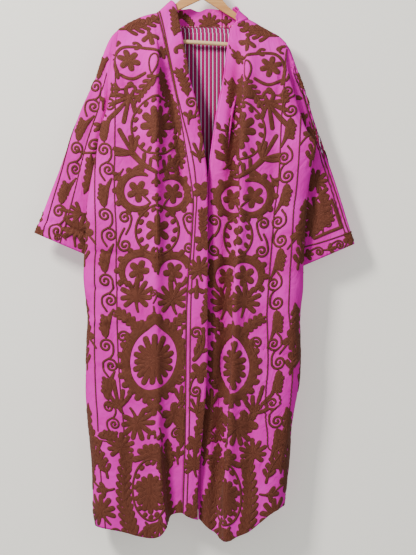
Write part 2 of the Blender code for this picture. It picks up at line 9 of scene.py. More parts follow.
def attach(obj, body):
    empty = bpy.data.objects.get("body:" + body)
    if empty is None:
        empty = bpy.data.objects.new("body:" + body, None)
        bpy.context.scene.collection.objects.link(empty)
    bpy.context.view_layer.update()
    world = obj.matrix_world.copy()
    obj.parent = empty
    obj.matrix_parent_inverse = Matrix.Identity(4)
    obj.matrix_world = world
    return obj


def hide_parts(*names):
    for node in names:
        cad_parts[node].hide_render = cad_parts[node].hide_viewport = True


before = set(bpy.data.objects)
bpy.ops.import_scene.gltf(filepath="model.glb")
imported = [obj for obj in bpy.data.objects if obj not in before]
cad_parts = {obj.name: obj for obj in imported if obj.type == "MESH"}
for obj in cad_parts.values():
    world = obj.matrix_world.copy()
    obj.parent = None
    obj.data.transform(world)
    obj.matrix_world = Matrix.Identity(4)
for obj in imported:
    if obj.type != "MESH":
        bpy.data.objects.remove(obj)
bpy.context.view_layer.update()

# The hanger's arms are cut from one beech board, rounded along their edges and
# lacquered. A round bar is glued into a notch at each end, and a bent wire hook
# is screwed in at the top. The whole hanger hangs 3.6 degrees out of level.
MM = 0.001
HANGER_TILT = Matrix.Rotation(math.radians(3.6), 3, "Y")
ARM_TOP = ((0, -66), (6, -66.6), (12, -68), (18, -74.5), (25, -82), (36, -99), (48.5, -116.5),
           (62, -131), (74, -140), (92, -152.5), (117, -168), (140, -180.6), (160, -191),
           (176, -200.6), (190, -208), (196, -214))
ARM_UNDER = ((196, -224), (192, -231), (184, -232), (181, -229), (181, -217.1), (120, -183.5),
             (60, -150.5))
ARM_FORK = -117.5
BOARD_THICKNESS = 12
BOARD_ROUNDING = 1.7
BAR_RADIUS = 5
BAR_LENGTH = 361.4
BAR_HEIGHT = -224
BAR_ROUNDING = 0.8
SHARP_ANGLE = 40
WIRE_RADIUS = 1.8
CROOK_RADIUS = 21.8
CROOK_HEIGHT = -20
CROOK_ANGLES = range(200, -61, -4)
SHANK = ((8.4, -41), (6.2, -43), (3.6, -45.6), (1.6, -48), (0.5, -51), (0, -54), (0, -60),
         (0, -65.7))


def plug(tree, socket, value):
    """Joins an input to another node's output, or gives it a plain value."""
    if isinstance(value, bpy.types.NodeSocket):
        tree.links.new(value, socket)
    else:
        socket.default_value = value


def connect(tree, node, **sockets):
    """Fills a node's named inputs."""
    for name, value in sockets.items():
        plug(tree, node.inputs[name.replace("_", " ")], value)
    return node


def new_shader(name, **sockets):
    """A material with its node tree and its shader."""
    material = bpy.data.materials.new(name)
    material.use_nodes = True
    tree = material.node_tree
    return material, tree, connect(tree, tree.nodes["Principled BSDF"], **sockets)


def add_node(tree, kind, **sockets):
    """A new node with its named inputs filled."""
    return connect(tree, tree.nodes.new(kind), **sockets)


def add_group(tree, group, **sockets):
    """A shared node group, placed in a material."""
    node = tree.nodes.new("ShaderNodeGroup")
    node.node_tree = group
    return connect(tree, node, **sockets)


def reckon(tree, kind, *values):
    """One step of arithmetic on outputs or numbers."""
    node = tree.nodes.new("ShaderNodeMath")
    node.operation = kind
    for socket, value in zip(node.inputs, values):
        plug(tree, socket, value)
    return node.outputs["Value"]


def stretched_noise(tree, place, stretch, **sockets):
    """Cloudy noise on a stretched place or map."""
    stretched = add_node(tree, "ShaderNodeMapping", Vector=place, Scale=stretch)
    noise = add_node(tree, "ShaderNodeTexNoise", Vector=stretched.outputs["Vector"],
                     **{"Scale": 1.0, **sockets})
    return noise.outputs["Fac"]


def bumped(tree, height, strength, distance, **under):
    """The normal of a surface with this height on it."""
    return add_node(tree, "ShaderNodeBump", Height=height, Strength=strength,
                    Distance=distance, **under).outputs["Normal"]


def colour_steps(tree, factor, steps):
    """A ramp from position to colour, fed by a factor."""
    ramp = tree.nodes.new("ShaderNodeValToRGB")
    while len(ramp.color_ramp.elements) < len(steps):
        ramp.color_ramp.elements.new(0.5)
    for element, (place, colour) in zip(ramp.color_ramp.elements, steps):
        element.position = place
        element.color = (*colour, 1)
    return connect(tree, ramp, Fac=factor).outputs["Color"]


def new_group(name, entry, *exits):
    """A node group with one place or map as its entry and numbers as its exits."""
    group = bpy.data.node_groups.new(name, "ShaderNodeTree")
    group.interface.new_socket(entry, in_out="INPUT", socket_type="NodeSocketVector")
    for number in exits:
        group.interface.new_socket(number, in_out="OUTPUT", socket_type="NodeSocketFloat")
    start = group.nodes.new("NodeGroupInput").outputs[entry]
    return group, start, group.nodes.new("NodeGroupOutput")


def grain_group():
    """Wood grain along X: long rings with fine pores, as a mask and a height."""
    group, place, end = new_group("beech_grain", "Place", "Grain", "Height")
    rings = stretched_noise(group, place, (6, 60, 90), Scale=1.6, Detail=6.0, Distortion=0.8)
    pores = stretched_noise(group, place, (60, 1500, 1500), Detail=2.0)
    connect(group, end, Grain=reckon(group, "MULTIPLY_ADD", pores, 0.25, rings), Height=pores)
    return group


beech_grain = grain_group()


def lacquered_wood(name, dark, light):
    """Beech under a thin clear lacquer, from its dark rings to its light ones."""
    material, tree, shader = new_shader(name, Roughness=0.42, Coat_Weight=0.35,
                                        Coat_Roughness=0.2)
    place = tree.nodes.new("ShaderNodeTexCoord").outputs["Object"]
    grain = add_group(tree, beech_grain, Place=place)
    colour = colour_steps(tree, grain.outputs["Grain"], ((0.35, dark), (0.85, light)))
    connect(tree, shader, Base_Color=colour,
            Normal=bumped(tree, grain.outputs["Height"], 0.25, 0.0002))
    return material


def put_in_scene(name, data):
    """A new object at the origin, for a mesh, a curve, a light or a camera."""
    thing = bpy.data.objects.new(name, data)
    bpy.context.scene.collection.objects.link(thing)
    return thing


def add_piece(name, bm, materials, sharp_angle=None):
    """The finished mesh as an object that hangs with the rest."""
    mesh = bpy.data.meshes.new(name)
    bm.to_mesh(mesh)
    bm.free()
    mesh.shade_smooth()
    if sharp_angle:
        mesh.set_sharp_from_angle(angle=math.radians(sharp_angle))
    for material in materials:
        mesh.materials.append(material)
    piece = put_in_scene(name, mesh)
    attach(piece, "root")
    return piece


def round_edges(bm, edges, radius, segments):
    bmesh.ops.bevel(bm, geom=edges, offset=radius * MM, segments=segments, profile=0.5,
                    affect="EDGES", material=-1)


beech = lacquered_wood("lacquered_beech", (0.52, 0.20, 0.055), (0.80, 0.42, 0.15))
half = ARM_TOP + ARM_UNDER
outline = half + ((0, ARM_FORK),) + tuple((-x, z) for x, z in reversed(half[1:]))
bm = bmesh.new()
rim = [bm.verts.new((x * MM, -BOARD_THICKNESS / 2 * MM, z * MM)) for x, z in outline]
board = bmesh.ops.extrude_face_region(bm, geom=[bm.faces.new(rim)])
bmesh.ops.translate(bm, vec=(0, BOARD_THICKNESS * MM, 0),
                    verts=[v for v in board["geom"] if isinstance(v, bmesh.types.BMVert)])
edges = [e for e in bm.edges if abs(e.verts[0].co.y - e.verts[1].co.y) < 1e-6]
round_edges(bm, edges, BOARD_ROUNDING, 4)
bmesh.ops.recalc_face_normals(bm, faces=bm.faces)
bmesh.ops.rotate(bm, verts=bm.verts, matrix=HANGER_TILT)
hanger_arms = add_piece("hanger_arms", bm, [beech], SHARP_ANGLE)
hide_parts("hanger_wood")

pale_beech = lacquered_wood("pale_beech_bar", (0.60, 0.34, 0.13), (0.90, 0.66, 0.33))
bm = bmesh.new()
bmesh.ops.create_cone(bm, cap_ends=True, segments=40, radius1=BAR_RADIUS * MM,
                      radius2=BAR_RADIUS * MM, depth=BAR_LENGTH * MM)
ends = [e for e in bm.edges if len(e.link_faces) == 2
        and any(len(f.verts) > 4 for f in e.link_faces)]
round_edges(bm, ends, BAR_ROUNDING, 3)
bmesh.ops.rotate(bm, verts=bm.verts, matrix=Matrix.Rotation(math.pi / 2, 3, "Y"))
bmesh.ops.translate(bm, verts=bm.verts, vec=(0, 0, BAR_HEIGHT * MM))
bmesh.ops.rotate(bm, verts=bm.verts, matrix=HANGER_TILT)
bar = add_piece("hanger_round_bar", bm, [pale_beech], SHARP_ANGLE)
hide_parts("hanger_bar")

steel, tree, shader = new_shader("bright_steel_wire", Base_Color=(0.62, 0.62, 0.63, 1),
                                 Metallic=1.0)
place = tree.nodes.new("ShaderNodeTexCoord").outputs["Object"]
rub = add_node(tree, "ShaderNodeTexNoise", Vector=place, Scale=420.0, Detail=3.0)
dullness = add_node(tree, "ShaderNodeMapRange", Value=rub.outputs["Fac"], To_Min=0.16, To_Max=0.34)
connect(tree, shader, Roughness=dullness.outputs["Result"])
crook = [(CROOK_RADIUS * math.cos(math.radians(a)),
          CROOK_HEIGHT + CROOK_RADIUS * math.sin(math.radians(a))) for a in CROOK_ANGLES]
wire = bpy.data.curves.new("hanger_wire_hook", "CURVE")
wire.dimensions = "3D"
wire.bevel_depth = WIRE_RADIUS * MM
wire.bevel_resolution = 5
wire.use_fill_caps = True
line = wire.splines.new("POLY")
line.points.add(len(crook) + len(SHANK) - 1)
for point, (x, z) in zip(line.points, (*crook, *SHANK)):
    point.co = (*(HANGER_TILT @ Vector((x, 0, z)) * MM), 1)
wire.materials.append(steel)
wire_hook = put_in_scene("hanger_wire_hook", wire)
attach(wire_hook, "root")
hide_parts("hanger_hook")

# The right front is a straight width of pink cotton, stitched all over with brown
# thread and lined. It hangs from the shoulder seam in one big rounded fold and
# is sewn to the band along its inner edge and to the back along its side.
CLOTH = 2.2
SEAM_GAP = 0.3
ARM_COVER = 11.0
SHOULDER_FALL = 110.0
ARMHOLE_SWELL_FRONT = 9.0
ARMHOLE_SWELL_BACK = 3.0
ARMHOLE_CLOSES = 0.68
UNDERARM_Y = -2.0
FLAT_FROM_ROLL = 14
RIDGE_RISE = 26
SHELL_THICKNESS = 1.6
CLOTH_CELL = 5.5
COAT_LENGTH = 1210.0
ROWS_ABOVE_UNDERARM = (0, 2.5, 7, 13, 24, 42, 70, 105, 145, 190, 235, 275, 310)
ROWS_BELOW_UNDERARM = (350, 400, 455, 510, 560, 605, 650, 700, 760, 825, 890, 955,
                       1020, 1080, 1135, 1178, 1210)
ROWS = np.array(ROWS_ABOVE_UNDERARM + ROWS_BELOW_UNDERARM) / COAT_LENGTH
UNDERARM = len(ROWS_ABOVE_UNDERARM) - 1


def bend(start, end, leave, reach, t):
    """A smooth curve from start to end, by its run where it leaves one and reaches the other."""
    return (start * (1 + 2 * t) * (1 - t) ** 2 + end * t * t * (3 - 2 * t)
            + leave * t * (1 - t) ** 2 - reach * t * t * (1 - t))


class Table:
    """Rows of sizes under named columns, eased from row to row without overshoot."""

    def __init__(self, columns, *rows):
        ordered = np.array(sorted(rows), dtype=float)
        self.key = ordered[:, 0]
        self.columns = dict(zip(columns.split(), ordered.T))

    def __call__(self, column, at):
        value = self.columns[column]
        step = np.diff(self.key)
        rise = np.diff(value) / step
        slope = np.concatenate(([rise[0]], np.zeros(len(rise) - 1), [rise[-1]]))
        for i in range(1, len(rise)):
            if rise[i - 1] * rise[i] > 0:
                near, far = 2 * step[i] + step[i - 1], step[i] + 2 * step[i - 1]
                slope[i] = (near + far) / (near / rise[i - 1] + far / rise[i])
        at = np.clip(at, self.key[0], self.key[-1])
        i = np.clip(np.searchsorted(self.key, at, side="right") - 1, 0, len(step) - 1)
        t = (at - self.key[i]) / step[i]
        return bend(value[i], value[i + 1], step[i] * slope[i], step[i] * slope[i + 1], t)


RIGHT_SIDE = Table(
    "height roll tuck front_y back_y",
    (-190, -207, -6, -14, 12),
    (-240, -215, -4, -22, 14),
    (-300, -226, 2, -28, 16),
    (-376, -236, 13, -31, 17),
    (-443, -256, 25, -33, 18),
    (-500, -265, 31, -33, 18),
    (-574, -280, 37, -32, 18),
    (-640, -289, 38, -30, 18),
    (-715, -290, 34, -28, 17),
    (-760, -295, 22, -24, 15),
    (-795, -297, 10, -20, 12),
    (-850, -292, 2, -16, 9),
    (-900, -286, 0, -14, 8),
    (-952, -289, 0, -14, 8),
    (-1080, -292, 0, -14, 8),
    (-1160, -285, 0, -14, 8),
    (-1268, -275, 0, -15, 8),
    (-1375, -273, 0, -16, 8),
    (-1401, -267, 0, -16, 8),
)
RIGHT_FRONT = Table(
    "height plane_y ridge ridge_y foot foot_y seam seam_y edge edge_y",
    (-119, -13, -138, -13, -131, -12, -124, -12, -84.5, -12),
    (-128, -13, -138, -13, -130, -12, -123, -12, -74.5, -12.5),
    (-150, -14, -136, -15, -128, -13, -119, -13, -69, -13.5),
    (-178, -17, -128, -20, -120, -15, -111.5, -15, -62.5, -15),
    (-209, -22, -121, -28, -112, -20, -104, -17, -56.5, -16.5),
    (-240, -27, -118, -36, -107, -24, -97, -20, -51, -18),
    (-273, -31, -116.5, -42, -101, -27, -90, -23, -44.5, -20),
    (-324, -35, -116.5, -47, -92, -29, -79, -26, -35.5, -23),
    (-378, -38, -116.5, -51, -82, -30, -67.5, -28, -20, -25),
    (-459, -41, -116.5, -54, -70, -31, -54, -31, -7, -29),
    (-557, -43, -116.5, -56, -57, -33, -38, -34, 4.5, -34),
    (-606, -44, -116.5, -56, -53, -34, -31, -36, 5, -37),
    (-709, -44, -116.5, -56, -57, -36, -35.5, -39, 6, -40),
    (-851, -44, -116.5, -55, -66, -38, -46.5, -41, 5, -42),
    (-973, -45, -116, -54, -69, -38, -49, -41, 5.5, -42),
    (-1096, -46, -113, -54, -71, -36, -50, -39, -0.5, -41),
    (-1218, -47, -107, -55, -73, -31, -52, -35, -11, -38),
    (-1316, -48, -100, -56, -77, -27, -55, -31, -19, -36),
    (-1390, -48, -95, -56, -80, -24, -57, -28, -18.5, -34),
    (-1430, -48, -94, -56, -80, -23, -57, -27, -18.5, -33),
)
SHOULDER = Table(
    "x height",
    (-214, -190.7), (-198, -181), (-177, -169.5), (-152, -158.5), (-119, -150.5),
    (-102, -135), (-84.5, -119.7),
)
RIGHT_HEM = Table(
    "x height",
    (-267, -1401), (-227, -1407), (-178, -1417), (-135, -1428), (-112, -1423), (-95, -1403),
    (-86, -1376), (-60, -1368), (-43, -1378), (-18, -1385),
)


def smooth(value):
    value = np.clip(value, 0, 1)
    return value * value * (3 - 2 * value)


def mix(start, end, part):
    return start + (end - start) * part


def arc(depth):
    """Half breadth of the cloth over the hanger's round top, this far below it."""
    return ARM_COVER * np.sqrt(1 - (1 - np.clip(depth / ARM_COVER, 0, 1)) ** 2)


def armhole(side, height, back):
    """Depth of the armhole's front or back edge, down to the side seam under it."""
    down = np.clip((side.key[-1] - height) / (COAT_LENGTH * ROWS[UNDERARM]), 0, 1)
    closing = smooth((down - ARMHOLE_CLOSES) / (1 - ARMHOLE_CLOSES))
    swell = np.sin(math.pi * down)
    if back:
        return mix(ARM_COVER + ARMHOLE_SWELL_BACK * swell, UNDERARM_Y + SEAM_GAP, closing)
    return mix(-ARM_COVER - ARMHOLE_SWELL_FRONT * swell, UNDERARM_Y, closing)


def side_stations(side, out, height, plane_y, back=False):
    """Seam, tuck, roll and turn of a panel's outer edge, from the seam inwards."""
    roll, tuck = side("roll", height), side("tuck", height)
    roll_y = side("back_y" if back else "front_y", height)
    seam_y = armhole(side, height, back)
    slack = np.minimum(1.5, 0.3 * tuck) + 0.06 * tuck if back else 0.0
    return [
        (roll - out * (tuck + 1 + slack * 0.2), seam_y),
        (roll - out * (0.55 * tuck + 0.3 + slack), mix(seam_y, roll_y, 0.6)),
        (roll - out * slack, roll_y),
        (roll - out * (FLAT_FROM_ROLL + slack), mix(roll_y, plane_y, 0.75)),
    ]


def right_front_stations(height):
    """Stations of the right front and its band, from the side seam to the free edge."""
    def size(column):
        return RIGHT_FRONT(column, height)
    plane_y, ridge, ridge_y = size("plane_y"), size("ridge"), size("ridge_y")
    roll = RIGHT_SIDE("roll", height)
    near = np.minimum(RIDGE_RISE, 0.3 * (ridge - roll))
    return side_stations(RIGHT_SIDE, -1, height, plane_y) + [
        (mix(roll, ridge, 0.4), plane_y),
        (ridge - near, mix(plane_y, ridge_y, 0.55)),
        (ridge, ridge_y),
        (mix(ridge, size("foot"), 0.3), mix(ridge_y, size("foot_y"), 0.55)),
        (size("foot"), size("foot_y")),
        (size("seam"), size("seam_y")),
        (mix(size("seam"), size("edge"), 0.5), mix(size("seam_y"), size("edge_y"), 0.5) - 2),
        (size("edge"), size("edge_y")),
    ]


def along(stations, span, part):
    """Point on the smooth curve through the stations, at a part of one span."""
    points = [np.stack(np.broadcast_arrays(*p), axis=-1) for p in stations]
    start, end = points[span], points[span + 1]
    before = points[max(span - 1, 0)]
    after = points[min(span + 2, len(points) - 1)]

    def length(a, b):
        return np.linalg.norm(b - a, axis=-1, keepdims=True) + 1e-6
    one, two, three = length(before, start), length(start, end), length(end, after)
    leave = (start - before) / one * two + (end - start) / two * one
    leave = (end - start) if span == 0 else leave / (one + two) * two
    reach = (end - start) / two * three + (after - end) / three * two
    reach = (end - start) if span == len(points) - 2 else reach / (two + three) * two
    return bend(start, end, leave, reach, part)


def columns(spans):
    """(span, part) of each column of points, for a number of columns in each span."""
    listed = [(span, k / count) for span, count in enumerate(spans) for k in range(count)]
    return listed + [(len(spans) - 1, 1.0)]


def front_sheet(stations, places, shoulder, hem, corners):
    """Rows and columns of points on a front, from the shoulder seam to the hem.

    The heights where a column meets the two are found in a few rounds.
    """
    sheet = np.zeros((len(ROWS), len(places), 3))
    for c, (span, part) in enumerate(places):
        top, low = shoulder("height", corners[0]), hem("height", corners[1])
        if c:
            for _ in range(12):
                top = shoulder("height", along(stations(top), span, part)[0])
                low = hem("height", along(stations(low), span, part)[0])
        height = mix(top, low, ROWS)
        flat = along(stations(height), span, part)
        depth = top - height
        fullness = smooth(depth / SHOULDER_FALL)
        sheet[:, c, 0] = flat[:, 0]
        sheet[:, c, 1] = -mix(arc(depth), np.maximum(-flat[:, 1], 0), fullness) - SEAM_GAP / 2
        sheet[:, c, 2] = height
    return sheet


def normals(sheet):
    """Unit normals of a sheet of points, from the points around each one."""
    normal = np.cross(np.gradient(sheet, axis=1), np.gradient(sheet, axis=0))
    return normal / np.linalg.norm(normal, axis=-1, keepdims=True)


def spread(lengths, cell):
    """Fractional places along a grid, about one cell apart."""
    places = [i + k / n for i, n in enumerate(np.maximum(1, np.round(lengths / cell).astype(int)))
              for k in range(n)]
    return np.array(places + [len(lengths)])


def eased(grid, lengths, at):
    """Lines of a grid at fractional places, on smooth curves through its own lines."""
    weight = lengths[:, None, None]
    slope = np.diff(grid, axis=0) / weight
    middle = (slope[:-1] * weight[1:] + slope[1:] * weight[:-1]) / (weight[1:] + weight[:-1])
    slope = np.concatenate((slope[:1], middle, slope[-1:]))
    i = np.clip(np.floor(at).astype(int), 0, len(lengths) - 1)
    t = (at - i)[:, None, None]
    return bend(grid[i], grid[i + 1], weight[i] * slope[i], weight[i] * slope[i + 1], t)


def steps_between(grid):
    return np.linalg.norm(np.diff(grid, axis=0), axis=2).mean(axis=1) + 0.3


def refine(grid, cell=CLOTH_CELL):
    """The same surface with a point every few millimetres, and where its columns went."""
    down = steps_between(grid)
    grid = eased(grid, down, spread(down, cell))
    turned = grid.transpose(1, 0, 2)
    across = steps_between(turned)
    places = spread(across, cell)
    return eased(turned, across, places).transpose(1, 0, 2), places


def nearest(places, at):
    """The number of the fine column nearest to a coarse one."""
    return int(np.argmin(np.abs(places - at)))


EDGE_FADE = 2.2
CREASE_FADE = 5
CREASE_STEP = 12


def crease(grid, out, creases, facing):
    """Presses troughs into a sheet, or lifts ridges on it, along listed lines.

    They fade out at both ends of their line, and where the cloth turns away.
    """
    normal = normals(grid) * out
    seen = smooth(normal[..., 1] * facing * EDGE_FADE)
    depth = 0
    for places, to_left, to_right, deep in creases:
        places = np.array(places, float)
        lengths = np.linalg.norm(np.diff(places, axis=0), axis=1)
        line = eased(places[:, None], lengths, spread(lengths, CREASE_STEP))[:, 0]
        run = np.gradient(line, axis=0)
        run /= np.linalg.norm(run, axis=1, keepdims=True)
        away = grid[..., None, ::2] - line
        near = (away ** 2).sum(axis=-1).argmin(axis=-1)
        away = np.take_along_axis(away, near[..., None, None], axis=2)[:, :, 0]
        beside = run[near][..., 0] * away[..., 1] - run[near][..., 1] * away[..., 0]
        far = np.linalg.norm(away, axis=-1) / np.where(beside > 0, to_right, to_left)
        ends = smooth(CREASE_FADE * np.minimum(near, len(line) - 1 - near) / len(line))
        depth = depth + deep * ends * np.exp(-far ** 2)
    return grid + normal * (depth * seen)[..., None]


def bilinear(values, row, column):
    """Values of a grid between its points, at rows and columns with fractions."""
    rows, count = values.shape[:2]
    r, c = np.clip(row, 0, rows - 1.001), np.clip(column, 0, count - 1.001)
    i, j = r.astype(int), c.astype(int)
    u, v = r - i, c - j
    if values.ndim == 3:
        u, v = u[..., None], v[..., None]
    return ((values[i, j] * (1 - v) + values[i, j + 1] * v) * (1 - u)
            + (values[i + 1, j] * (1 - v) + values[i + 1, j + 1] * v) * u)


class Panel:
    """One piece of cloth as a grid of points in millimetres, laid out flat on a chart.

    On the chart, right is measured from the grain line and down along the hang of the
    piece, both over the cloth, as seen from its outside. Down is measured on the plain
    sheet, as it was before its creases were pressed.
    """
    CHART_STEP = 2.0
    CHART_SLACK = 2.0

    def __init__(self, points, out, grain, hang=(0, 0, -1), plain=None):
        self.points, self.out, self.grain = points, out, grain
        self.normal = normals(points) * out
        beside = (points[:-2, 1:-1] + points[2:, 1:-1] + points[1:-1, :-2] + points[1:-1, 2:]) / 4
        crest = ((points[1:-1, 1:-1] - beside) * self.normal[1:-1, 1:-1]).sum(axis=-1)
        self.crest = np.pad(np.maximum(crest, 0), 1)
        hang = np.array(hang, float) / np.linalg.norm(hang)
        over = np.diff(points, axis=1)
        under = np.diff(points if plain is None else plain, axis=0)
        over = np.sqrt((over ** 2).sum(axis=2) - (over @ hang) ** 2 + 1e-9)
        self.across = np.pad(np.cumsum(over, axis=1), ((0, 0), (1, 0)))
        self.down = np.pad(np.cumsum(np.linalg.norm(under, axis=2), axis=0), ((1, 0), (0, 0)))
        self.side = (self.across - self.across[:, [grain]]) * -out
        self.depth = self.down + (points[0] - points[0, grain]) @ hang
        self.columns_at = self.tabled(self.side[:, ::-out], np.arange(points.shape[1])[::-out])
        self.rows_at = self.tabled(self.depth.T, np.arange(points.shape[0]))

    def tabled(self, values, numbers):
        """For each line of rising values, the place reached at even steps of the value."""
        steps = np.arange(values.min(), values.max() + self.CHART_STEP, self.CHART_STEP)
        return steps[0], np.array([np.interp(steps, line, numbers) for line in values])

    def looked_up(self, table, line, value):
        start, rows = table
        i = np.clip(line, 0, len(rows) - 1.001)
        k = np.clip((value - start) / self.CHART_STEP, 0, rows.shape[1] - 1.001)
        return bilinear(rows, i, k)

    def place(self, chart):
        """Rows and columns, with fractions, of places on the chart; -9 is off the cloth."""
        column = np.full(chart.shape[:-1], float(self.grain))
        for _ in range(5):
            row = self.looked_up(self.rows_at, column, chart[..., 1])
            column = self.looked_up(self.columns_at, row, chart[..., 0])
        near = np.stack((bilinear(self.side, row, column), bilinear(self.depth, row, column)),
                        axis=-1)
        off = (np.abs(near - chart).max(axis=-1) > self.CHART_SLACK) | (row < 0.5)
        return np.stack((row, np.where(off, -9, column)), axis=-1)


def sheet_uv(bm, count, across, down):
    """The cut cloth's own lengths, in metres, as its UV map."""
    cut = bm.loops.layers.uv.new("cut")
    for face in bm.faces:
        for loop in face.loops:
            r, c = divmod(loop.vert.index, count)
            loop[cut].uv = (across[r, c] * MM, -down[r, c] * MM)


def lay_cloth(name, panel, outside, inside, thickness=SHELL_THICKNESS):
    """A thin wall of cloth on the panel's points, its lining on the inner face."""
    rows, count = panel.points.shape[:2]
    bm = bmesh.new()
    bmesh.ops.create_grid(bm, x_segments=count - 1, y_segments=rows - 1, size=1)
    for vert, point in zip(bm.verts, panel.points.reshape(-1, 3)):
        vert.co = point * MM
    bm.verts.index_update()
    sheet_uv(bm, count, panel.across, panel.down)
    bmesh.ops.remove_doubles(bm, verts=bm.verts, dist=1e-6)
    if panel.out < 0:
        bmesh.ops.reverse_faces(bm, faces=bm.faces)
    piece = add_piece(name, bm, [outside, inside])
    wall = piece.modifiers.new("lining", "SOLIDIFY")
    wall.thickness = thickness * MM
    wall.offset = -1
    wall.material_offset = 1
    return piece


def weave_group():
    """Plain weave with uneven threads, crumples and soiling, from a map of the cut cloth."""
    group, cut, end = new_group("plain_weave", "Cut", "Height", "Crumple", "Tone")
    warp, weft = (stretched_noise(group, cut, stretch, Detail=2.0, Roughness=0.6)
                  for stretch in ((950, 60, 1), (60, 950, 1)))
    connect(group, end, Height=reckon(group, "ADD", warp, weft),
            Crumple=stretched_noise(group, cut, (34, 21, 1), Detail=3.0, Distortion=1.4),
            Tone=stretched_noise(group, cut, (5, 9, 1), Detail=4.0, Distortion=0.4))
    return group


plain_weave = weave_group()


def uv_map(tree, name):
    node = tree.nodes.new("ShaderNodeUVMap")
    node.uv_map = name
    return node.outputs["UV"]


def woven(tree, shader, cut, crumple):
    """Adds the weave's and the crumples' bump to a shader, and gives the cloth's tone."""
    weave = add_group(tree, plain_weave, Cut=cut)
    soft = bumped(tree, weave.outputs["Crumple"], 0.8, crumple)
    fine = bumped(tree, weave.outputs["Height"], 0.6, 0.0003, Normal=soft)
    connect(tree, shader, Normal=fine)
    return weave.outputs["Tone"]


PINKS = ((0.28, (0.66, 0.004, 0.38)), (0.5, (0.84, 0.009, 0.52)), (0.72, (0.97, 0.022, 0.66)))
cotton, tree, shader = new_shader("pink_cotton_cloth", Roughness=0.82, Sheen_Weight=0.02,
                                  Sheen_Roughness=0.5, Specular_IOR_Level=0.1)
tone = woven(tree, shader, uv_map(tree, "cut"), 0.0042)
connect(tree, shader, Base_Color=colour_steps(tree, tone, PINKS))

STRIPE = 9.6
WHITE = (0.80, 0.60, 0.84)
MAROON = (0.11, 0.0012, 0.042)
MAGENTA = (0.46, 0.0025, 0.145)
STRIPES = ((0.0, WHITE), (0.20, WHITE), (0.24, MAROON), (0.38, MAROON), (0.42, MAGENTA),
           (0.76, MAGENTA), (0.80, MAROON), (0.96, MAROON), (1.0, WHITE))
lining, tree, shader = new_shader("striped_lining_cloth", Roughness=0.75, Specular_IOR_Level=0.2)
cut = uv_map(tree, "cut")
woven(tree, shader, cut, 0.0006)
split = add_node(tree, "ShaderNodeSeparateXYZ", Vector=cut)
stripe = reckon(tree, "FRACT", reckon(tree, "MULTIPLY", split.outputs["X"], 1 / (STRIPE * MM)))
connect(tree, shader, Base_Color=colour_steps(tree, stripe, STRIPES))

# Each crease runs down or across through (x, z) places, then come its width to the
# left and to the right of that line, and its depth: below zero it is a trough.
RIGHT_CREASES = (
    (((-98, -270), (-91, -310), (-72, -401), (-60, -494), (-50, -570), (-45, -640)), 16, 9, -14.0),
    (((-119, -190), (-119, -380), (-118, -560), (-113, -800)), 13, 7, 6.0),
    (((-160, -263), (-166, -410), (-172, -560)), 16, 13, -5.2),
    (((-150, -600), (-145, -760), (-150, -900)), 14, 16, -3.8),
    (((-94, -1120), (-92, -1240), (-88, -1380)), 12, 10, -7.5),
    (((-180, -1080), (-186, -1200), (-176, -1370)), 16, 14, -6.0),
    (((-290, -734), (-225, -737), (-160, -742)), 9, 6, -4.5),
    (((-290, -822), (-215, -826), (-150, -824)), 8, 6, -3.9),
    (((-290, -906), (-230, -902), (-170, -896)), 7, 9, 3.6),
    (((-270, -1012), (-215, -1015), (-160, -1018)), 8, 6, -3.3),
    (((-215, -270), (-196, -320), (-190, -380)), 7, 6, -4.5),
)
FRONT_SPANS = (2, 1, 2, 2, 2, 2, 2, 2, 2)
BAND_SPANS = (2, 1)
RIDGE_COLUMN = sum(FRONT_SPANS[:6])
RIGHT_CORNERS = (-214, -267)
right_coarse = front_sheet(right_front_stations, columns(FRONT_SPANS + BAND_SPANS), SHOULDER,
                           RIGHT_HEM, RIGHT_CORNERS)
right_plain, column_at = refine(right_coarse)
right_fine = crease(right_plain, -1, RIGHT_CREASES, -1)
right_seam = nearest(column_at, sum(FRONT_SPANS))
right_ridge = nearest(column_at, RIDGE_COLUMN)


def parted(fine, seam, part, shift):
    """The sheet on one side of a seam, drawn back a little from it."""
    across = fine[:, seam + 1] - fine[:, seam - 1]
    across /= np.linalg.norm(across, axis=-1, keepdims=True)
    piece = fine[:, part].copy()
    piece[:, -1 if shift < 0 else 0] += shift * across * SEAM_GAP / 2
    return piece


right_front = Panel(parted(right_fine, right_seam, slice(0, right_seam + 1), -1), -1,
                    right_ridge, plain=right_plain[:, :right_seam + 1])
piece = lay_cloth("right_front_cloth", right_front, cotton, lining)

# The embroidery is brown cotton thread, chain stitched with a hooked needle in close
# rows that stand a little above the cloth. Every figure is built of such strokes: a
# centre line and its half width, drawn in millimetres as (right, up).
STROKE_STEP = 3


def around(reach, heading):
    """Points at these distances and headings, in degrees, round the middle."""
    angle = np.radians(heading)
    return np.stack((reach * np.cos(angle), reach * np.sin(angle)), axis=-1)


def trail(start, heading, length, curl=0.0, width=2.0, tip=None, belly=None):
    """A stroke from a point that turns through curl degrees on its way."""
    count = max(4, int(length / STROKE_STEP) + 1)
    t = np.linspace(0, 1, count)
    step = around(length / (count - 1), heading + curl * t)
    line = np.array(start) + np.concatenate((np.zeros((1, 2)), np.cumsum(step[:-1], axis=0)))
    half = mix(width, width if tip is None else tip, t)
    if belly is not None:
        half = half + (belly - half) * np.sin(math.pi * t ** 0.8) ** 0.8
    return line, half


def through(*places, width=2.0, tip=None):
    """A stroke on a smooth line through given points."""
    places = np.array(places, float)
    lengths = np.linalg.norm(np.diff(places, axis=0), axis=1)
    line = eased(places[:, None], lengths, spread(lengths, STROKE_STEP))[:, 0]
    return line, mix(width, width if tip is None else tip, np.linspace(0, 1, len(line)))


def finger(start, heading, length, width=5.0, curl=0.0):
    """A rounded finger, narrow where it leaves its stem."""
    line, half = trail(start, heading, max(length - width, 3), curl, 0.5 * width, width)
    return line, np.minimum(half * 1.2, width)


